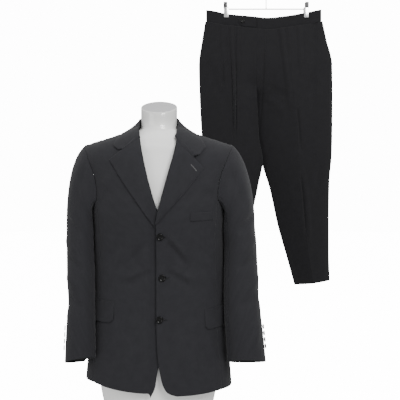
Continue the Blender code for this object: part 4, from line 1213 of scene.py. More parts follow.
def tube(
    name: str, line: Sequence[Vector], radius: float, finish: Finish, sides: int = 8
) -> bpy.types.Object:
    """Round cord through points, closed at both ends.

    Args:
        name: the object's name.
        line: points along its middle.
        radius: half its thickness.
        finish: what it is made of.
        sides: corners of its section.

    Returns:
        The finished piece.
    """
    mesh = bpy.data.meshes.new(name)
    shape = bmesh.new()
    loops = []
    upright = None
    for index, point in enumerate(line):
        before, after = line[max(index - 1, 0)], line[min(index + 1, len(line) - 1)]
        ahead = (after - before).normalized()
        if upright is None:
            upright = ahead.orthogonal().normalized()
        upright = (upright - ahead * upright.dot(ahead)).normalized()
        beside = ahead.cross(upright)
        loops.append([
            shape.verts.new(
                point + (upright * cos(2 * pi * k / sides) + beside * sin(2 * pi * k / sides)) * radius
            )
            for k in range(sides)
        ])
    for low, high in zip(loops, loops[1:]):
        for k in range(sides):
            after = (k + 1) % sides
            face = shape.faces.new((low[k], low[after], high[after], high[k]))
            face.smooth = True
    shape.faces.new(list(reversed(loops[0])))
    shape.faces.new(loops[-1])
    bmesh.ops.recalc_face_normals(shape, faces=shape.faces)
    shape.to_mesh(mesh)
    shape.free()
    layer = mesh.uv_layers.new(name="cloth")
    flat = np.zeros(len(mesh.loops) * 2)
    for loop in mesh.loops:
        spot = mesh.vertices[loop.vertex_index].co
        flat[loop.index * 2:loop.index * 2 + 2] = (spot.x + spot.y, spot.z)
    layer.data.foreach_set("uv", flat)
    mesh.materials.append(finish.value.make())
    piece = bpy.data.objects.new(name, mesh)
    bpy.context.scene.collection.objects.link(piece)
    return keep(piece, finish)


@dataclass
class Pockets:
    """Two hip flaps and the breast welt."""

    out: float = 0.0020
    stand_off: float = 0.0016
    flaps: dict = field(default_factory=lambda: {
        Side.LEFT: (0.132, 1.60, 0.2960, -0.016, 0.056),
        Side.RIGHT: (0.119, 1.50, 0.3200, -0.006, 0.060),
    })
    welt: tuple = (0.0918, 0.1560, 0.5650, 0.004, 0.024)

    def flap_point(self, side: Side, u: float, v: float) -> Vector:
        """Point of a flap: u along the pocket, v from its foot to its top."""
        start, end, top, fall, height = self.flaps[side]
        first = BODY.turn_of(start / BODY.half_width(top - height / 2))
        corner = 0.010 * max(0.0, 1 - u / 0.10) ** 2 + 0.010 * max(0.0, (u - 0.9) / 0.10) ** 2
        upper = top - fall * u
        z = mix(upper - height + corner, upper, v)
        return BODY.round(side, mix(first, end, u), z, self.out + self.stand_off * (1 - v) ** 2)

    def welt_point(self, u: float, v: float) -> Vector:
        """Point of the breast welt."""
        start, end, top, fall, height = self.welt
        return BODY.on(mix(start, end, u), top + fall * u - height * (1 - v), Face.FRONT, self.out)

    def build(self) -> None:
        """Sew the flaps and the welt."""
        for side in Side:
            ClothSheet(
                f"cloth_flap_{side.tag}", lambda u, v: self.flap_point(side, u, v), 50, 20,
                Finish.JACKET, side is Side.RIGHT,
            ).sew(f"flap_{side.tag}")
        ClothSheet("cloth_breast_welt", self.welt_point, 36, 14, Finish.JACKET).sew(
            "breast_welt"
        )


@dataclass
class FrontButtons:
    """The three buttons of the front."""

    spots: tuple = ((0.0096, 0.499), (0.0150, 0.3852), (0.0082, 0.271))
    radius: float = 0.0098
    thick: float = 0.0036

    def build(self) -> None:
        """Sew on the buttons."""
        for number, (x, z) in enumerate(self.spots):
            normal = BODY.normal(x, z, Face.FRONT)
            point = BODY.on(x, z, Face.FRONT) + normal * 0.0006
            Button(f"button_{number + 1}", point, normal, self.radius, self.thick).build()


@dataclass
class TorsoForm:
    """Smooth limbless form with a flat foot and a slanted neck cap, with painted shade on its cap and neck.
    """

    root_heights: tuple = (0.8035, 0.811, 0.824, 0.834)
    neck_half: float = 0.0525
    neck_depth: float = 0.0560
    neck_back: float = 0.0080
    cap_middle: float = 0.8712
    cap_slope: float = 0.424
    cap_edge: float = 0.0030
    under: float = 0.0022
    slim: float = 0.92

    rows: Table = Table(
        "z half_width front back",
        (0.000, 0.150, 0.095, 0.095),
        (0.012, 0.156, 0.100, 0.100),
        (0.100, 0.170, 0.104, 0.102),
        (0.200, 0.165, 0.106, 0.108),
        (0.300, 0.156, 0.100, 0.102),
        (0.400, 0.151, 0.096, 0.092),
        (0.500, 0.157, 0.109, 0.098),
        (0.580, 0.168, 0.118, 0.106),
        (0.650, 0.180, 0.112, 0.112),
        (0.700, 0.187, 0.100, 0.112),
        (0.735, 0.188, 0.092, 0.108),
    )

    def trunk(self, z: float, turns: np.ndarray) -> list:
        """Section of the trunk at a height."""
        ring = []
        for turn in turns:
            deep = self.rows.get("front" if sin(turn) < 0 else "back", z)
            x = self.rows.get("half_width", z) * abs(cos(turn)) ** (2 / BODY.power)
            x *= 1 if cos(turn) > 0 else -1
            y = deep * abs(sin(turn)) ** (2 / BODY.power) * (1 if sin(turn) > 0 else -1)
            ring.append(Vector((x, y, z)))
        return ring

    def shoulder(self, z: float, turns: np.ndarray) -> list:
        """Section of the shoulders at a height."""
        reach = min(0.190, BODY.ridge_x + (BODY.ridge_z - self.under - z) / BODY.ridge_fall)
        blend = smooth((z - 0.770) / 0.045) * 0.35
        ring = []
        for turn in turns:
            x = reach * cos(turn)
            y = 0.0
            if abs(cos(turn)) < 0.9999:
                face = Face.FRONT if sin(turn) < 0 else Face.BACK
                y = BODY.depth(x, z, face, -self.under) * self.slim
                y = min(abs(y), abs(sin(turn)) * 0.6) * face.value
            neck = self.neck(z, turn, 1.0)
            ring.append(Vector((x, y, z)).lerp(neck, blend))
        return ring


    def neck(self, z: float, turn: float, wide: float) -> Vector:
        """Point of the neck at a turn."""
        return Vector((
            self.neck_half * cos(turn) * wide,
            self.neck_back + self.neck_depth * sin(turn) * wide,
            z,
        ))

    def build(self) -> None:
        """Loft the form, with its cap in a darker finish that paints shade on it."""
        count = max(24, int(96 * DETAIL))
        turns = [2 * pi * k / count for k in range(count)]
        rings = [[Vector((p.x * 0.985, p.y * 0.985, 0.0)) for p in self.trunk(0.0, turns)]]
        rings.append(self.trunk(0.0015, turns))
        rings += [self.trunk(float(z), turns) for z in np.linspace(0.006, 0.735, 50)]
        rings += [self.shoulder(float(z), turns) for z in np.linspace(0.748, 0.799, 18)]
        root = Curve(self.root_heights, (1.06, 1.015, 1.0, 1.0))
        for z in np.linspace(self.root_heights[0], self.root_heights[-1], 10):
            rings.append([self.neck(float(z), turn, root.at(float(z))) for turn in turns])
        for inset, drop in ((0.0, self.cap_edge), (0.0006, 0.0010), (self.cap_edge, 0.0)):
            ring = []
            for turn in turns:
                scale = 1 - inset / self.neck_half
                point = self.neck(self.cap_middle - drop, turn, scale)
                point.z += self.cap_slope * self.neck_depth * sin(turn) * scale
                ring.append(point)
            rings.append(ring)
        mesh = bpy.data.meshes.new("smooth_torso_form")
        shape = bmesh.new()
        loops = [[shape.verts.new(point) for point in ring] for ring in rings]
        for low, high in zip(loops, loops[1:]):
            for k in range(count):
                after = (k + 1) % count
                face = shape.faces.new((low[k], low[after], high[after], high[k]))
                face.smooth = True
        foot = shape.faces.new(list(reversed(loops[0])))
        foot.smooth = False
        cap = shape.faces.new(loops[-1])
        cap.smooth = False
        # The cap takes the darker finish, which is painted shade.
        cap.material_index = 1
        shape.to_mesh(mesh)
        shape.free()
        mesh.materials.append(Finish.FORM.value.make())
        mesh.materials.append(Finish.CAP.value.make())
        piece = bpy.data.objects.new("smooth_torso_form", mesh)
        bpy.context.scene.collection.objects.link(piece)
        keep(piece, Finish.FORM, "torso_form")


@dataclass(frozen=True)
class Pleat:
    """Pressed fold of a trouser front, tapering down from the waist."""

    x_top: float
    x_end: float
    z_top: float
    z_end: float
    width: float
    height: float


@dataclass
class Trousers:
    """Fronts and backs of both legs, hanging flat from the waistband."""

    y: float = 0.579
    gap: float = 0.0005
    lap: float = 0.0035
    shift: float = 0.0108
    crease_sharp: float = 0.004
    band_height: float = 0.044
    hem_tilt: dict = field(default_factory=lambda: {Side.LEFT: 0.017, Side.RIGHT: -0.010})
    meet: Table = Table(
        "z x", (0.7660, 0.3490), (0.8640, 0.3325), (0.9700, 0.3292), (1.1000, 0.3256), (1.1900, 0.3260),
        (1.2600, 0.3294),
    )
    band: Table = Table(
        "x top", (0.1400, 1.3030), (0.1745, 1.2970), (0.2160, 1.2870), (0.3225, 1.2765), (0.3670, 1.2720),
        (0.4330, 1.2785), (0.5110, 1.2920), (0.5690, 1.3050),
    )
    legs: dict = field(default_factory=lambda: {
        Side.LEFT: Table(
            "z outer inner crease depth join",
            (0.2950, 0.5980, 0.4716, 0.5330, 0.0300, 0.00),
            (0.3928, 0.5950, 0.4450, 0.5180, 0.0320, 0.00),
            (0.5220, 0.5948, 0.4095, 0.5000, 0.0340, 0.00),
            (0.6600, 0.5968, 0.3800, 0.4870, 0.0360, 0.00),
            (0.7660, 0.6060, 0.3490, 0.4800, 0.0370, 0.00),
            (0.8640, 0.6080, 0.3325, 0.4735, 0.0370, 0.00),
            (0.9700, 0.6085, 0.3292, 0.4655, 0.0360, 0.05),
            (1.1000, 0.6075, 0.3256, 0.4510, 0.0320, 0.72),
            (1.1900, 0.5870, 0.3260, 0.4470, 0.0230, 0.85),
            (1.2600, 0.5720, 0.3294, 0.4450, 0.0140, 0.90),
        ),
        Side.RIGHT: Table(
            "z outer inner crease depth join",
            (0.2950, 0.1580, 0.2850, 0.2250, 0.0300, 0.00),
            (0.3928, 0.1540, 0.2920, 0.2270, 0.0320, 0.00),
            (0.5220, 0.1480, 0.3050, 0.2320, 0.0340, 0.00),
            (0.6600, 0.1410, 0.3310, 0.2400, 0.0360, 0.00),
            (0.7660, 0.1330, 0.3490, 0.2450, 0.0370, 0.00),
            (0.8640, 0.1245, 0.3325, 0.2450, 0.0370, 0.00),
            (0.9700, 0.1190, 0.3292, 0.2440, 0.0360, 0.05),
            (1.1000, 0.1155, 0.3256, 0.2410, 0.0320, 0.72),
            (1.1900, 0.1270, 0.3260, 0.2380, 0.0230, 0.85),
            (1.2600, 0.1385, 0.3294, 0.2380, 0.0140, 0.90),
        ),
    })
    pleats: dict = field(default_factory=lambda: {
        Side.LEFT: (
            Pleat(0.4200, 0.4560, 1.225, 0.900, 0.007, 0.0050),
            Pleat(0.4850, 0.4900, 1.225, 1.020, 0.007, 0.0040),
            Pleat(0.5400, 0.5250, 1.200, 0.840, 0.010, -0.0040),
        ),
        Side.RIGHT: (
            Pleat(0.2350, 0.2440, 1.225, 0.800, 0.005, 0.0050),
            Pleat(0.2590, 0.2470, 1.225, 0.800, 0.005, 0.0050),
            Pleat(0.2030, 0.2080, 1.200, 1.040, 0.007, 0.0040),
        ),
    })
    folds: dict = field(default_factory=lambda: {
        Side.LEFT: (
            Fold((0.3560, 1.1700), (0.3420, 0.8500), 0.0040, -0.0050),
            Fold((0.4700, 0.9600), (0.4850, 0.7700), 0.0045, -0.0045, 0.004),
            Fold((0.4830, 0.7300), (0.5080, 0.4200), 0.0045, -0.0050, 0.003),
            Fold((0.4980, 0.7200), (0.5220, 0.4000), 0.0080, 0.0030, 0.003),
            Fold((0.5700, 1.1500), (0.4800, 0.9400), 0.0120, -0.0030, 0.010),
            Fold((0.3500, 1.0300), (0.4500, 0.9600), 0.0120, -0.0030, 0.006),
            Fold((0.3500, 0.9900), (0.4400, 0.9000), 0.0130, 0.0026, 0.006),
            Fold((0.5600, 0.7600), (0.5200, 0.5200), 0.0140, -0.0024, 0.006),
            Fold((0.4400, 0.6600), (0.5000, 0.4600), 0.0140, 0.0020, 0.006),
        ),
        Side.RIGHT: (
            Fold((0.2280, 1.1900), (0.2420, 0.7900), 0.0038, -0.0060, 0.002),
            Fold((0.2520, 1.1500), (0.2500, 0.7900), 0.0036, -0.0058),
            Fold((0.2400, 1.1600), (0.2460, 0.8000), 0.0045, 0.0030, 0.001),
            Fold((0.2030, 1.1300), (0.2060, 1.0000), 0.0042, -0.0048),
            Fold((0.1500, 1.1400), (0.2100, 0.9500), 0.0120, -0.0028, -0.008),
            Fold((0.3050, 1.0200), (0.2300, 0.9400), 0.0120, -0.0028, 0.006),
            Fold((0.1700, 0.8200), (0.2000, 0.5600), 0.0140, -0.0024, 0.006),
            Fold((0.2900, 0.7000), (0.2400, 0.4800), 0.0130, 0.0020, 0.006),
        ),
    })

    def band_top(self, x: float) -> float:
        """Height of the waistband's top edge."""
        return self.band.get("top", x)

    def point(self, side: Side, face: Face, u: float, v: float) -> Vector:
        """Point of a leg's panel.

        Args:
            side: which leg.
            face: front or back panel.
            u: from the outseam to the inner edge.
            v: from the hem to the waist.

        Returns:
            The point.
        """
        table = self.legs[side]
        z = mix(table.low, table.high, v)
        outer, depth = table.get("outer", z), table.get("depth", z)
        crease, join = table.get("crease", z), table.get("join", z)
        inner = self.meet.get("x", z) if z > self.meet.low else table.get("inner", z)
        inner += side.value * mix(-self.lap, self.gap, smooth(join * 12)) / 2
        x = mix(outer, inner, u)
        middle = (crease - outer) / (inner - outer)
        near = u / middle if u < middle else (1 - u) / (1 - middle)
        base = sin(near * pi / 2) ** 0.75
        if u > middle:
            base = sin(near * pi / 2) ** min(0.75 + 2 * join, 2.0)
            base = join + (1 - join) * base
        deep = depth * base + self.crease_sharp * max(0.0, 1 - abs(u - middle) / 0.16) ** 2
        if face is Face.FRONT:
            for pleat in self.pleats[side]:
                if pleat.z_end < z < pleat.z_top + 0.06:
                    t = (pleat.z_top - z) / (pleat.z_top - pleat.z_end)
                    line = mix(pleat.x_top, pleat.x_end, t)
                    fade = smooth((1 - t) * 1.6) * smooth(near * 4)
                    deep += pleat.height * fade * max(0.0, 1 - ((x - line) / (2 * pleat.width)) ** 2) ** 2
        foot = self.hem_tilt[side] * (0.5 - u)
        top = self.band_top(x) - self.band_height - 2 * SEWN
        shift = side.value * self.shift * (1 - smooth((join - 0.1) / 0.35)) * smooth(u * 2 - 1)
        y = self.y + face.value * max(deep, SEAM) + shift
        return Vector((x, y, mix(table.low + foot, top, v)))

    def build(self) -> None:
        """Sew the four panels."""
        for side in Side:
            for face in Face:
                turned = (side is Side.LEFT) == (face is Face.FRONT)
                ClothSheet(
                    f"cloth_trouser_{face.name.lower()}_{side.tag}",
                    lambda u, v: self.point(side, face, u, v), 130 if face is Face.FRONT else 80, 190,
                    Finish.TROUSERS, turned, 1.0,
                    folds=self.folds[side],
                ).sew(f"trouser_{face.name.lower()}_{side.tag}")


@dataclass
class Waistband:
    """Two halves of the waistband, its front tab and its button."""

    trousers: Trousers
    depth: float = 0.0110
    power: float = 0.7
    middle: float = 0.3275
    ends: dict = field(default_factory=lambda: {Side.LEFT: 0.5680, Side.RIGHT: 0.1415})
    tab: tuple = (0.2620, 0.3275)
    tab_height: float = 0.036
    button_x: float = 0.2760

    def half_depth(self, side: Side, x: float) -> float:
        """Half depth of the flattened band at a place across."""
        share = (x - self.middle) / (self.ends[side] - self.middle)
        turn = asin(min(max(share, 0.0), 1.0) ** (1 / self.power))
        return self.depth * cos(turn) ** self.power

    def point(self, side: Side, u: float, v: float) -> Vector:
        """Point of half the band: u from centre front round to centre back."""
        turn = u * pi
        x = mix(self.middle + side.value * SEWN, self.ends[side], sin(turn) ** self.power)
        y = -self.depth * abs(cos(turn)) ** self.power * (1 if cos(turn) > 0 else -1)
        z = self.trousers.band_top(x) - self.trousers.band_height * (1 - v)
        return Vector((x, self.trousers.y + y, z))

    def tab_point(self, u: float, v: float) -> Vector:
        """Point of the tab that closes the band."""
        x = mix(*self.tab, u)
        tip = (1 - u / 0.18) if u < 0.18 else 0.0
        middle = self.trousers.band_top(x) - self.trousers.band_height / 2
        z = middle + (v - 0.5) * self.tab_height * (1 - 0.75 * tip)
        return Vector((x, self.trousers.y - self.depth - 0.0005 - WALL, z))

    def build(self) -> None:
        """Sew the band, the tab and its button."""
        for side in Side:
            ClothSheet(
                f"cloth_waistband_{side.tag}", lambda u, v: self.point(side, u, v), 160, 14,
                Finish.TROUSERS, side is Side.RIGHT, inner=Finish.WAIST_LINING,
            ).sew(f"waistband_{side.tag}")
        ClothSheet("cloth_waist_tab", self.tab_point, 40, 14, Finish.TROUSERS).sew(
            "waist_tab"
        )
        spot = self.tab_point((self.button_x - self.tab[0]) / (self.tab[1] - self.tab[0]), 0.5)
        Button("waist_button", spot + Vector((0, -0.0005, 0)), Vector((0, -1, 0)), 0.0075, 0.003).build()


def rounded_block(name: str, middle: Vector, size: tuple, finish: Finish, soft: float) -> bpy.types.Object:
    """Box with rounded edges.

    Args:
        name: the object's name.
        middle: its centre.
        size: its three sizes.
        finish: what it is made of.
        soft: radius of the edges.

    Returns:
        The object, not yet tied to a solid.
    """
    mesh = bpy.data.meshes.new(name)
    shape = bmesh.new()
    bmesh.ops.create_cube(shape, size=1.0)
    for vert in shape.verts:
        vert.co = Vector(a * b for a, b in zip(vert.co, size)) + middle
    bmesh.ops.bevel(
        shape, geom=list(shape.edges), offset=soft, segments=4, profile=0.5, affect="EDGES"
    )
    for face in shape.faces:
        face.smooth = True
    shape.to_mesh(mesh)
    shape.free()
    mesh.materials.append(finish.value.make())
    piece = bpy.data.objects.new(name, mesh)
    bpy.context.scene.collection.objects.link(piece)
    return piece


@dataclass
class Hanger:
    """Bar and hook, and two clips of a bent steel jaw with dark grips."""

    band: Waistband
    bar_z: float = 1.3060
    bar_radius: float = 0.0021
    clip_x: dict = field(default_factory=lambda: {Side.LEFT: 0.5110, Side.RIGHT: 0.2160})
    clip_width: float = 0.0165
    clip_foot: float = 1.2727
    clip_head: float = 1.3110
    plate: float = 0.0028
    grip_height: float = 0.020
    hook_radius: float = 0.0225
    hook_stem: float = 0.034

    @property
    def y(self) -> float:
        """Plane that the hanger lies in."""
        return self.band.trousers.y

    def clip(self, side: Side) -> None:
        """One clip: its jaw, bent over the band, and its two grips."""
        x = self.clip_x[side]
        inside = self.band.half_depth(side, x - side.value * self.clip_width / 2) + 0.0005
        depth = inside + self.plate
        foot, head, plate = self.clip_foot, self.clip_head, self.plate
        bow = 0.0022
        outline = [(-depth, foot), (-inside, foot), (-inside, head - plate - bow)]
        for angle in np.linspace(0.2, pi / 2, 5):
            outline.append((-inside + bow * (1 - cos(angle)), head - plate - bow + bow * sin(angle)))
        outline += [(-y, z) for y, z in reversed(outline)]
        turn = plate * 0.9
        top = [(depth - turn * (1 - cos(a)), head - turn + turn * sin(a)) for a in np.linspace(0, pi / 2, 6)]
        outline += top + [(-y, z) for y, z in reversed(top)]
        mesh = bpy.data.meshes.new(f"steel_clip_jaw_{side.tag}")
        shape = bmesh.new()
        face = shape.faces.new([
            shape.verts.new((x - self.clip_width / 2, self.y + y, z)) for y, z in outline
        ])
        made = bmesh.ops.extrude_face_region(shape, geom=[face])["geom"]
        moved = [item for item in made if isinstance(item, bmesh.types.BMVert)]
        bmesh.ops.translate(shape, verts=moved, vec=(self.clip_width, 0, 0))
        bmesh.ops.recalc_face_normals(shape, faces=shape.faces)
        edges = [edge for edge in shape.edges if len(edge.link_faces) == 2 and edge.calc_face_angle(0) > 1.2]
        bmesh.ops.bevel(shape, geom=edges, offset=0.0005, segments=3, profile=0.5, affect="EDGES")
        shape.to_mesh(mesh)
        shape.free()
        mesh.polygons.foreach_set("use_smooth", [True] * len(mesh.polygons))
        mesh.set_sharp_from_angle(angle=radians(35))
        mesh.materials.append(Finish.STEEL.value.make())
        jaw = bpy.data.objects.new(f"steel_clip_jaw_{side.tag}", mesh)
        bpy.context.scene.collection.objects.link(jaw)
        keep(jaw, Finish.STEEL, f"clip_jaw_{side.tag}")
        for face_side, word in ((-1, "front"), (1, "back")):
            middle = Vector((
                x + side.value * 0.003, self.y + face_side * depth * 0.55, head + SEAM + self.grip_height / 2,
            ))
            grip = rounded_block(
                f"moulded_grip_{word}_{side.tag}", middle, (0.0135, 0.0045, self.grip_height), Finish.GRIP,
                0.0014,
            )
            keep(grip, Finish.GRIP, f"clip_grip_{word}_{side.tag}")
        self.rivet(side, x, depth)

    def rivet(self, side: Side, x: float, depth: float) -> None:
        """Rivet pressed into the front of the jaw."""
        spot = Vector((x, self.y - depth - 0.0004, self.clip_head - 0.011))
        line = [spot + Vector((0, 0.0006, 0)), spot + Vector((0, -0.0003, 0))]
        tube(f"rivet_{side.tag}", line, 0.0022, Finish.STEEL, 24)

    def build(self) -> None:
        """Make the bar, the hook and both clips."""
        left = self.clip_x[Side.RIGHT] + self.clip_width / 2 + SEAM
        right = self.clip_x[Side.LEFT] - self.clip_width / 2 - SEAM
        bar = tube(
            "round_hanger_bar", [Vector((mix(left, right, k / 24), self.y, self.bar_z)) for k in range(25)],
            self.bar_radius, Finish.GRIP, 24,
        )
        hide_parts("hanger_bar")
        middle = (left + right) / 2
        foot = self.bar_z + self.bar_radius + SEAM
        centre = foot + self.hook_stem + self.hook_radius
        line = [Vector((middle, self.y, mix(foot, centre - self.hook_radius, k / 8))) for k in range(9)]
        for k in range(1, 57):
            angle = -pi / 2 + k * 1.28 * pi / 56
            line.append(Vector((
                middle + self.hook_radius * cos(angle), self.y, centre + self.hook_radius * sin(angle),
            )))
        hook = tube("round_hanger_hook", line, 0.0017, Finish.STEEL, 20)
        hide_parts("hanger_hook")
        for side in Side:
            self.clip(side)


@dataclass
class Stitching:
    """Worked buttonholes and rows of stitches, laid along paths by nodes."""

    body: JacketBody
    lapels: Lapels
    pockets: Pockets
    trousers: Trousers
    seed: int = 7
    lapel_hole: tuple = ((0.1090, 0.6805), (0.0945, 0.6970))

    def stitch(self, length: float, radius: float, finish: Finish) -> bpy.types.Object:
        """One short rounded stitch along X, to be repeated."""
        mesh = bpy.data.meshes.new("stitch")
        shape = bmesh.new()
        bmesh.ops.create_uvsphere(shape, u_segments=8, v_segments=5, radius=1.0)
        for vert in shape.verts:
            vert.co = Vector((vert.co.x * length / 2, vert.co.y * radius, vert.co.z * radius))
        for face in shape.faces:
            face.smooth = True
        shape.to_mesh(mesh)
        shape.free()
        mesh.materials.append(finish.value.make())
        piece = bpy.data.objects.new("stitch", mesh)
        bpy.context.scene.collection.objects.link(piece)
        return piece

    def tree(self, stitch: bpy.types.Object, finish: Finish) -> bpy.types.NodeTree:
        """Node tree that lays stitches on the points of a mesh.

        Args:
            stitch: the stitch to repeat.
            finish: what it is made of.

        Returns:
            The tree, with an input for the stitches' scale.
        """
        tree = bpy.data.node_groups.new("lay_stitches", "GeometryNodeTree")
        tree.interface.new_socket("Geometry", in_out="INPUT", socket_type="NodeSocketGeometry")
        size = tree.interface.new_socket("Scale", in_out="INPUT", socket_type="NodeSocketFloat")
        size.default_value = 1.0
        tree.interface.new_socket("Geometry", in_out="OUTPUT", socket_type="NodeSocketGeometry")
        nodes = Nodes(tree)
        inward = nodes.add("NodeGroupInput")
        outward = nodes.add("NodeGroupOutput")
        source = nodes.add("GeometryNodeObjectInfo")
        source.inputs["Object"].default_value = stitch
        heading = nodes.add("GeometryNodeInputNamedAttribute", data_type="FLOAT_VECTOR")
        heading.inputs["Name"].default_value = "heading"
        align = nodes.add("FunctionNodeAlignRotationToVector", axis="X")
        nodes.link(heading.outputs["Attribute"], align.inputs["Vector"])
        chance = nodes.add("FunctionNodeRandomValue", data_type="FLOAT")
        chance.inputs[2].default_value = 0.88
        chance.inputs[3].default_value = 1.10
        chance.inputs["Seed"].default_value = self.seed
        scaled = nodes.add("ShaderNodeMath", operation="MULTIPLY")
        nodes.link(chance.outputs[1], scaled.inputs[0])
        nodes.link(inward.outputs["Scale"], scaled.inputs[1])
        spread = nodes.add("GeometryNodeInstanceOnPoints")
        nodes.link(inward.outputs["Geometry"], spread.inputs["Points"])
        nodes.link(source.outputs["Geometry"], spread.inputs["Instance"])
        nodes.link(align.outputs["Rotation"], spread.inputs["Rotation"])
        nodes.link(scaled.outputs[0], spread.inputs["Scale"])
        solid = nodes.add("GeometryNodeRealizeInstances")
        nodes.link(spread.outputs["Instances"], solid.inputs["Geometry"])
        dress = nodes.add("GeometryNodeSetMaterial")
        dress.inputs["Material"].default_value = finish.value.make()
        nodes.link(solid.outputs["Geometry"], dress.inputs["Geometry"])
        nodes.link(dress.outputs["Geometry"], outward.inputs["Geometry"])
        return tree

    def lay(self, name: str, points: Sequence[Vector], headings: Sequence[Vector], length: float,
            radius: float, finish: Finish) -> bpy.types.Object:
        """Lay stitches on points.

        Args:
            name: the object's name.
            points: where each stitch lies.
            headings: the direction each one runs in.
            length: a stitch's length.
            radius: half its thickness.
            finish: what it is made of.

        Returns:
            The finished piece, a plain mesh.
        """
        mesh = bpy.data.meshes.new(name + "_points")
        mesh.from_pydata([point[:] for point in points], [], [])
        ahead = mesh.attributes.new("heading", "FLOAT_VECTOR", "POINT")
        ahead.data.foreach_set("vector", [value for heading in headings for value in heading.normalized()])
        holder = bpy.data.objects.new(name + "_points", mesh)
        bpy.context.scene.collection.objects.link(holder)
        stitch = self.stitch(length, radius, finish)
        tree = self.tree(stitch, finish)
        laid = holder.modifiers.new("stitches", "NODES")
        laid.node_group = tree
        socket = next(item for item in tree.interface.items_tree if item.name == "Scale")
        laid[socket.identifier] = 1.0
        graph = bpy.context.evaluated_depsgraph_get()
        graph.update()
        plain = bpy.data.meshes.new_from_object(holder.evaluated_get(graph))
        plain.name = name
        layer = plain.uv_layers.get("cloth") or plain.uv_layers.new(name="cloth")
        flat = np.zeros(len(plain.loops) * 2)
        spots = np.zeros(len(plain.vertices) * 3)
        plain.vertices.foreach_get("co", spots)
        spots = spots.reshape(-1, 3)
        which = np.zeros(len(plain.loops), dtype=int)
        plain.loops.foreach_get("vertex_index", which)
        flat[0::2] = spots[which, 0] + spots[which, 1]
        flat[1::2] = spots[which, 2]
        layer.data.foreach_set("uv", flat)
        bpy.data.objects.remove(holder, do_unlink=True)
        bpy.data.objects.remove(stitch, do_unlink=True)
        piece = bpy.data.objects.new(name, plain)
        bpy.context.scene.collection.objects.link(piece)
        return keep(piece, finish)

    def run(self, name: str, path: Callable[[float], Vector], length: float, gap: float, radius: float,
            finish: Finish) -> None:
        """Lay a straight run of stitches along a path of t from 0 to 1."""
        fine = [path(k / 200) for k in range(201)]
        lengths = np.concatenate(([0.0], np.cumsum([(b - a).length for a, b in zip(fine, fine[1:])])))
        count = max(1, int(lengths[-1] / (length + gap)))
        points, headings = [], []
        for k in range(count):
            t = float(np.interp((k + 0.5) / count * lengths[-1], lengths, np.linspace(0, 1, 201)))
            points.append(path(t))
            headings.append(path(min(t + 0.01, 1.0)) - path(max(t - 0.01, 0.0)))
        self.lay(name, points, headings, length, radius, finish)

    def buttonhole(
        self, name: str, place: Callable[[float, float], Vector], size: float, finish: Finish
    ) -> None:
        """Worked buttonhole: close stitches across both sides of its slit.

        Args:
            name: the object's name.
            place: point at a distance along and across the slit.
            size: the slit's length.
            finish: the thread.
        """
        points, headings = [], []
        count = int(size / 0.00065)
        for row in (-1, 1):
            for k in range(count):
                along = size * (k + 0.5) / count
                points.append(place(along, row * 0.0008))
                headings.append(place(along, row * 0.0014) - place(along, row * 0.0002))
        for k in range(9):
            angle = -pi / 2 + pi * k / 8
            points.append(place(-0.0008 * cos(angle), 0.0011 * sin(angle)))
            headings.append(place(-0.0016 * cos(angle), 0.0022 * sin(angle)) - place(0, 0))
        self.lay(name, points, headings, 0.0015, 0.00034, finish)

    def build(self) -> None:
        """Work every buttonhole and row of stitches."""
        for number, (x, z) in enumerate(FrontButtons.spots):
            start = x - 0.004
            self.buttonhole(
                f"buttonhole_{number + 1}",
                lambda along, across: BODY.on(start + along, z + across, Face.FRONT, 0.0004),
                0.024, Finish.THREAD,
            )
        corner = self.lapels.find(Side.LEFT, *self.lapel_hole[0])
        inner = self.lapels.find(Side.LEFT, *self.lapel_hole[1])
        slit, upright = inner - corner, Vector((0.5, 0.0, 0.86))
        size = slit.length
        ahead = slit.normalized()
        beside = (upright - ahead * upright.dot(ahead)).normalized()
        log.info("lapel buttonhole: %.4f m", size)
        self.buttonhole(
            "lapel_buttonhole", lambda along, across: corner + ahead * along + beside * across, size,
            Finish.PALE_THREAD,
        )
        legs = self.trousers

        def fly(t: float) -> Vector:
            """Point of the curved fly seam."""
            z = mix(1.225, 1.075, t)
            x = 0.3275 + 0.032 * sqrt(max(0.0, 1 - smooth((t - 0.55) / 0.45) ** 2)) + 0.001
            table = legs.legs[Side.LEFT]
            outer = table.get("outer", z)
            inner_x = legs.meet.get("x", z) + legs.gap / 2
            u = min(max((x - outer) / (inner_x - outer), 0.0), 1.0)
            top = legs.band_top(x) - legs.band_height - 2 * SEAM
            v = (z - table.low) / (top - table.low)
            return legs.point(Side.LEFT, Face.FRONT, u, v) + Vector((0, -WALL - 0.0002, 0))

        self.run("fly_stitches", fly, 0.0024, 0.0008, 0.00030, Finish.THREAD)
        for side in Side:
            self.run(
                f"flap_stitches_{side.tag}",
                lambda t: self.pockets.flap_point(side, mix(0.02, 0.98, t), 0.96)
                + Vector((0, -0.0002, 0)), 0.0022, 0.0008, 0.00028, Finish.THREAD,
            )
            end = 0.03 if side is Side.RIGHT else 0.97
            points = [self.pockets.welt_point(end, k / 20) for k in range(21)]
            self.run(
                f"welt_stitches_{side.tag}",
                lambda t: points[int(round(t * 20))] + Vector((0, -0.0002, 0)), 0.0022, 0.0008, 0.00028,
                Finish.THREAD,
            )


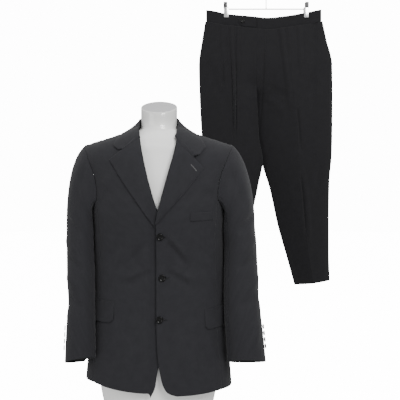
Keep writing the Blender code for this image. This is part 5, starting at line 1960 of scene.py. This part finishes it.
@dataclass
class Studio:
    """White studio: camera, soft lights, floor and a backdrop."""

    camera_x: float = 0.119
    camera_y: float = -2.1
    camera_z: float = 0.60
    lens: float = 65.17
    glow: float = 14.0

    def panel(self, name: str, place: tuple, aim: tuple, size: float, watts: float) -> None:
        """Square soft light that looks at a point."""
        data = bpy.data.lights.new(name, "AREA")
        data.energy = watts
        data.size = size
        lamp = bpy.data.objects.new(name, data)
        lamp.location = place
        lamp.rotation_euler = (Vector(aim) - Vector(place)).to_track_quat("-Z", "Y").to_euler()
        bpy.context.scene.collection.objects.link(lamp)

    def floor(self) -> None:
        """Pale floor under the form."""
        material = bpy.data.materials.new("pale_floor")
        material.use_nodes = True
        nodes = Nodes(material.node_tree)
        shader = material.node_tree.nodes["Principled BSDF"]
        where = nodes.add("ShaderNodeTexCoord")
        cloud = nodes.add("ShaderNodeTexNoise", in_Scale=3.0)
        nodes.link(where.outputs["Object"], cloud.inputs["Vector"])
        colour = nodes.add("ShaderNodeMix", data_type="RGBA")
        colour.inputs["A"].default_value = (0.94, 0.94, 0.94, 1)
        colour.inputs["B"].default_value = (0.97, 0.97, 0.97, 1)
        nodes.link(cloud.outputs["Fac"], colour.inputs["Factor"])
        nodes.link(colour.outputs["Result"], shader.inputs["Base Color"])
        shader.inputs["Roughness"].default_value = 0.9
        shader.inputs["Emission Color"].default_value = (1.0, 1.0, 1.0, 1)
        shader.inputs["Emission Strength"].default_value = self.glow
        mesh = bpy.data.meshes.new("pale_floor")
        corners = [(x, y, -0.0005) for x, y in ((-14, -14), (14, -14), (14, 14), (-14, 14))]
        mesh.from_pydata(corners, [], [(0, 1, 2, 3)])
        mesh.materials.append(material)
        floor = bpy.data.objects.new("pale_floor", mesh)
        bpy.context.scene.collection.objects.link(floor)
        self.only_seen(floor)

    def only_seen(self, thing: bpy.types.Object) -> None:
        """Keep a stage piece in sight without letting it light the suit."""
        thing.visible_diffuse = False
        thing.visible_glossy = False
        thing.visible_transmission = False
        thing.visible_shadow = False

    def backdrop(self) -> None:
        """White dome far round the suit."""
        material = bpy.data.materials.new("white_backdrop")
        material.use_nodes = True
        nodes = Nodes(material.node_tree)
        glow = nodes.add("ShaderNodeEmission", in_Strength=self.glow)
        out = material.node_tree.nodes["Material Output"]
        nodes.link(glow.outputs["Emission"], out.inputs["Surface"])
        mesh = bpy.data.meshes.new("white_backdrop")
        shape = bmesh.new()
        bmesh.ops.create_uvsphere(shape, u_segments=48, v_segments=24, radius=12.0)
        bmesh.ops.reverse_faces(shape, faces=shape.faces)
        shape.to_mesh(mesh)
        shape.free()
        mesh.materials.append(material)
        dome = bpy.data.objects.new("white_backdrop", mesh)
        bpy.context.scene.collection.objects.link(dome)
        self.only_seen(dome)

    def build(self) -> None:
        """Set up the camera, the lights and the floor."""
        data = bpy.data.cameras.new("camera")
        data.lens = self.lens
        data.sensor_width = 36
        data.dof.use_dof = False
        camera = bpy.data.objects.new("camera", data)
        camera.location = (self.camera_x, self.camera_y, self.camera_z)
        camera.rotation_euler = (pi / 2, 0, 0)
        bpy.context.scene.collection.objects.link(camera)
        bpy.context.scene.camera = camera
        self.floor()
        self.backdrop()
        self.panel("key", (1.3, -2.3, 2.3), (0.1, 0.1, 0.75), 1.2, 84)
        self.panel("fill", (-2.3, -2.0, 1.0), (0.1, 0.1, 0.6), 1.8, 26)
        self.panel("top", (0.2, 0.6, 3.0), (0.15, 0.2, 0.6), 1.8, 12)
        self.panel("rim", (1.6, 2.6, 1.8), (0.1, 0.2, 0.7), 1.4, 14)
        world = bpy.data.worlds.new("white")
        world.use_nodes = True
        world.node_tree.nodes["Background"].inputs["Color"].default_value = (1.0, 1.0, 1.0, 1)
        world.node_tree.nodes["Background"].inputs["Strength"].default_value = 0.78
        bpy.context.scene.world = world


def main() -> None:
    """Dress the suit and what holds it."""
    logging.basicConfig(level=logging.INFO, format="%(name)s %(message)s")
    body = JacketBody()
    lapels = Lapels(body)
    pockets = Pockets()
    trousers = Trousers()
    band = Waistband(trousers)
    pieces = (
        TorsoForm(),
        body,
        lapels,
        Collar(lapels),
        Sleeve(Side.LEFT, LEFT_SLEEVE, sleeve_folds(Side.LEFT)),
        Sleeve(Side.RIGHT, RIGHT_SLEEVE, sleeve_folds(Side.RIGHT), cuff_rise=0.007),
        pockets,
        FrontButtons(),
        trousers,
        band,
        Hanger(band),
        Stitching(body, lapels, pockets, trousers),
        Studio(),
    )
    for piece in pieces:
        log.info("building %s", type(piece).__name__)
        piece.build()


if __name__ == "__main__":
    main()
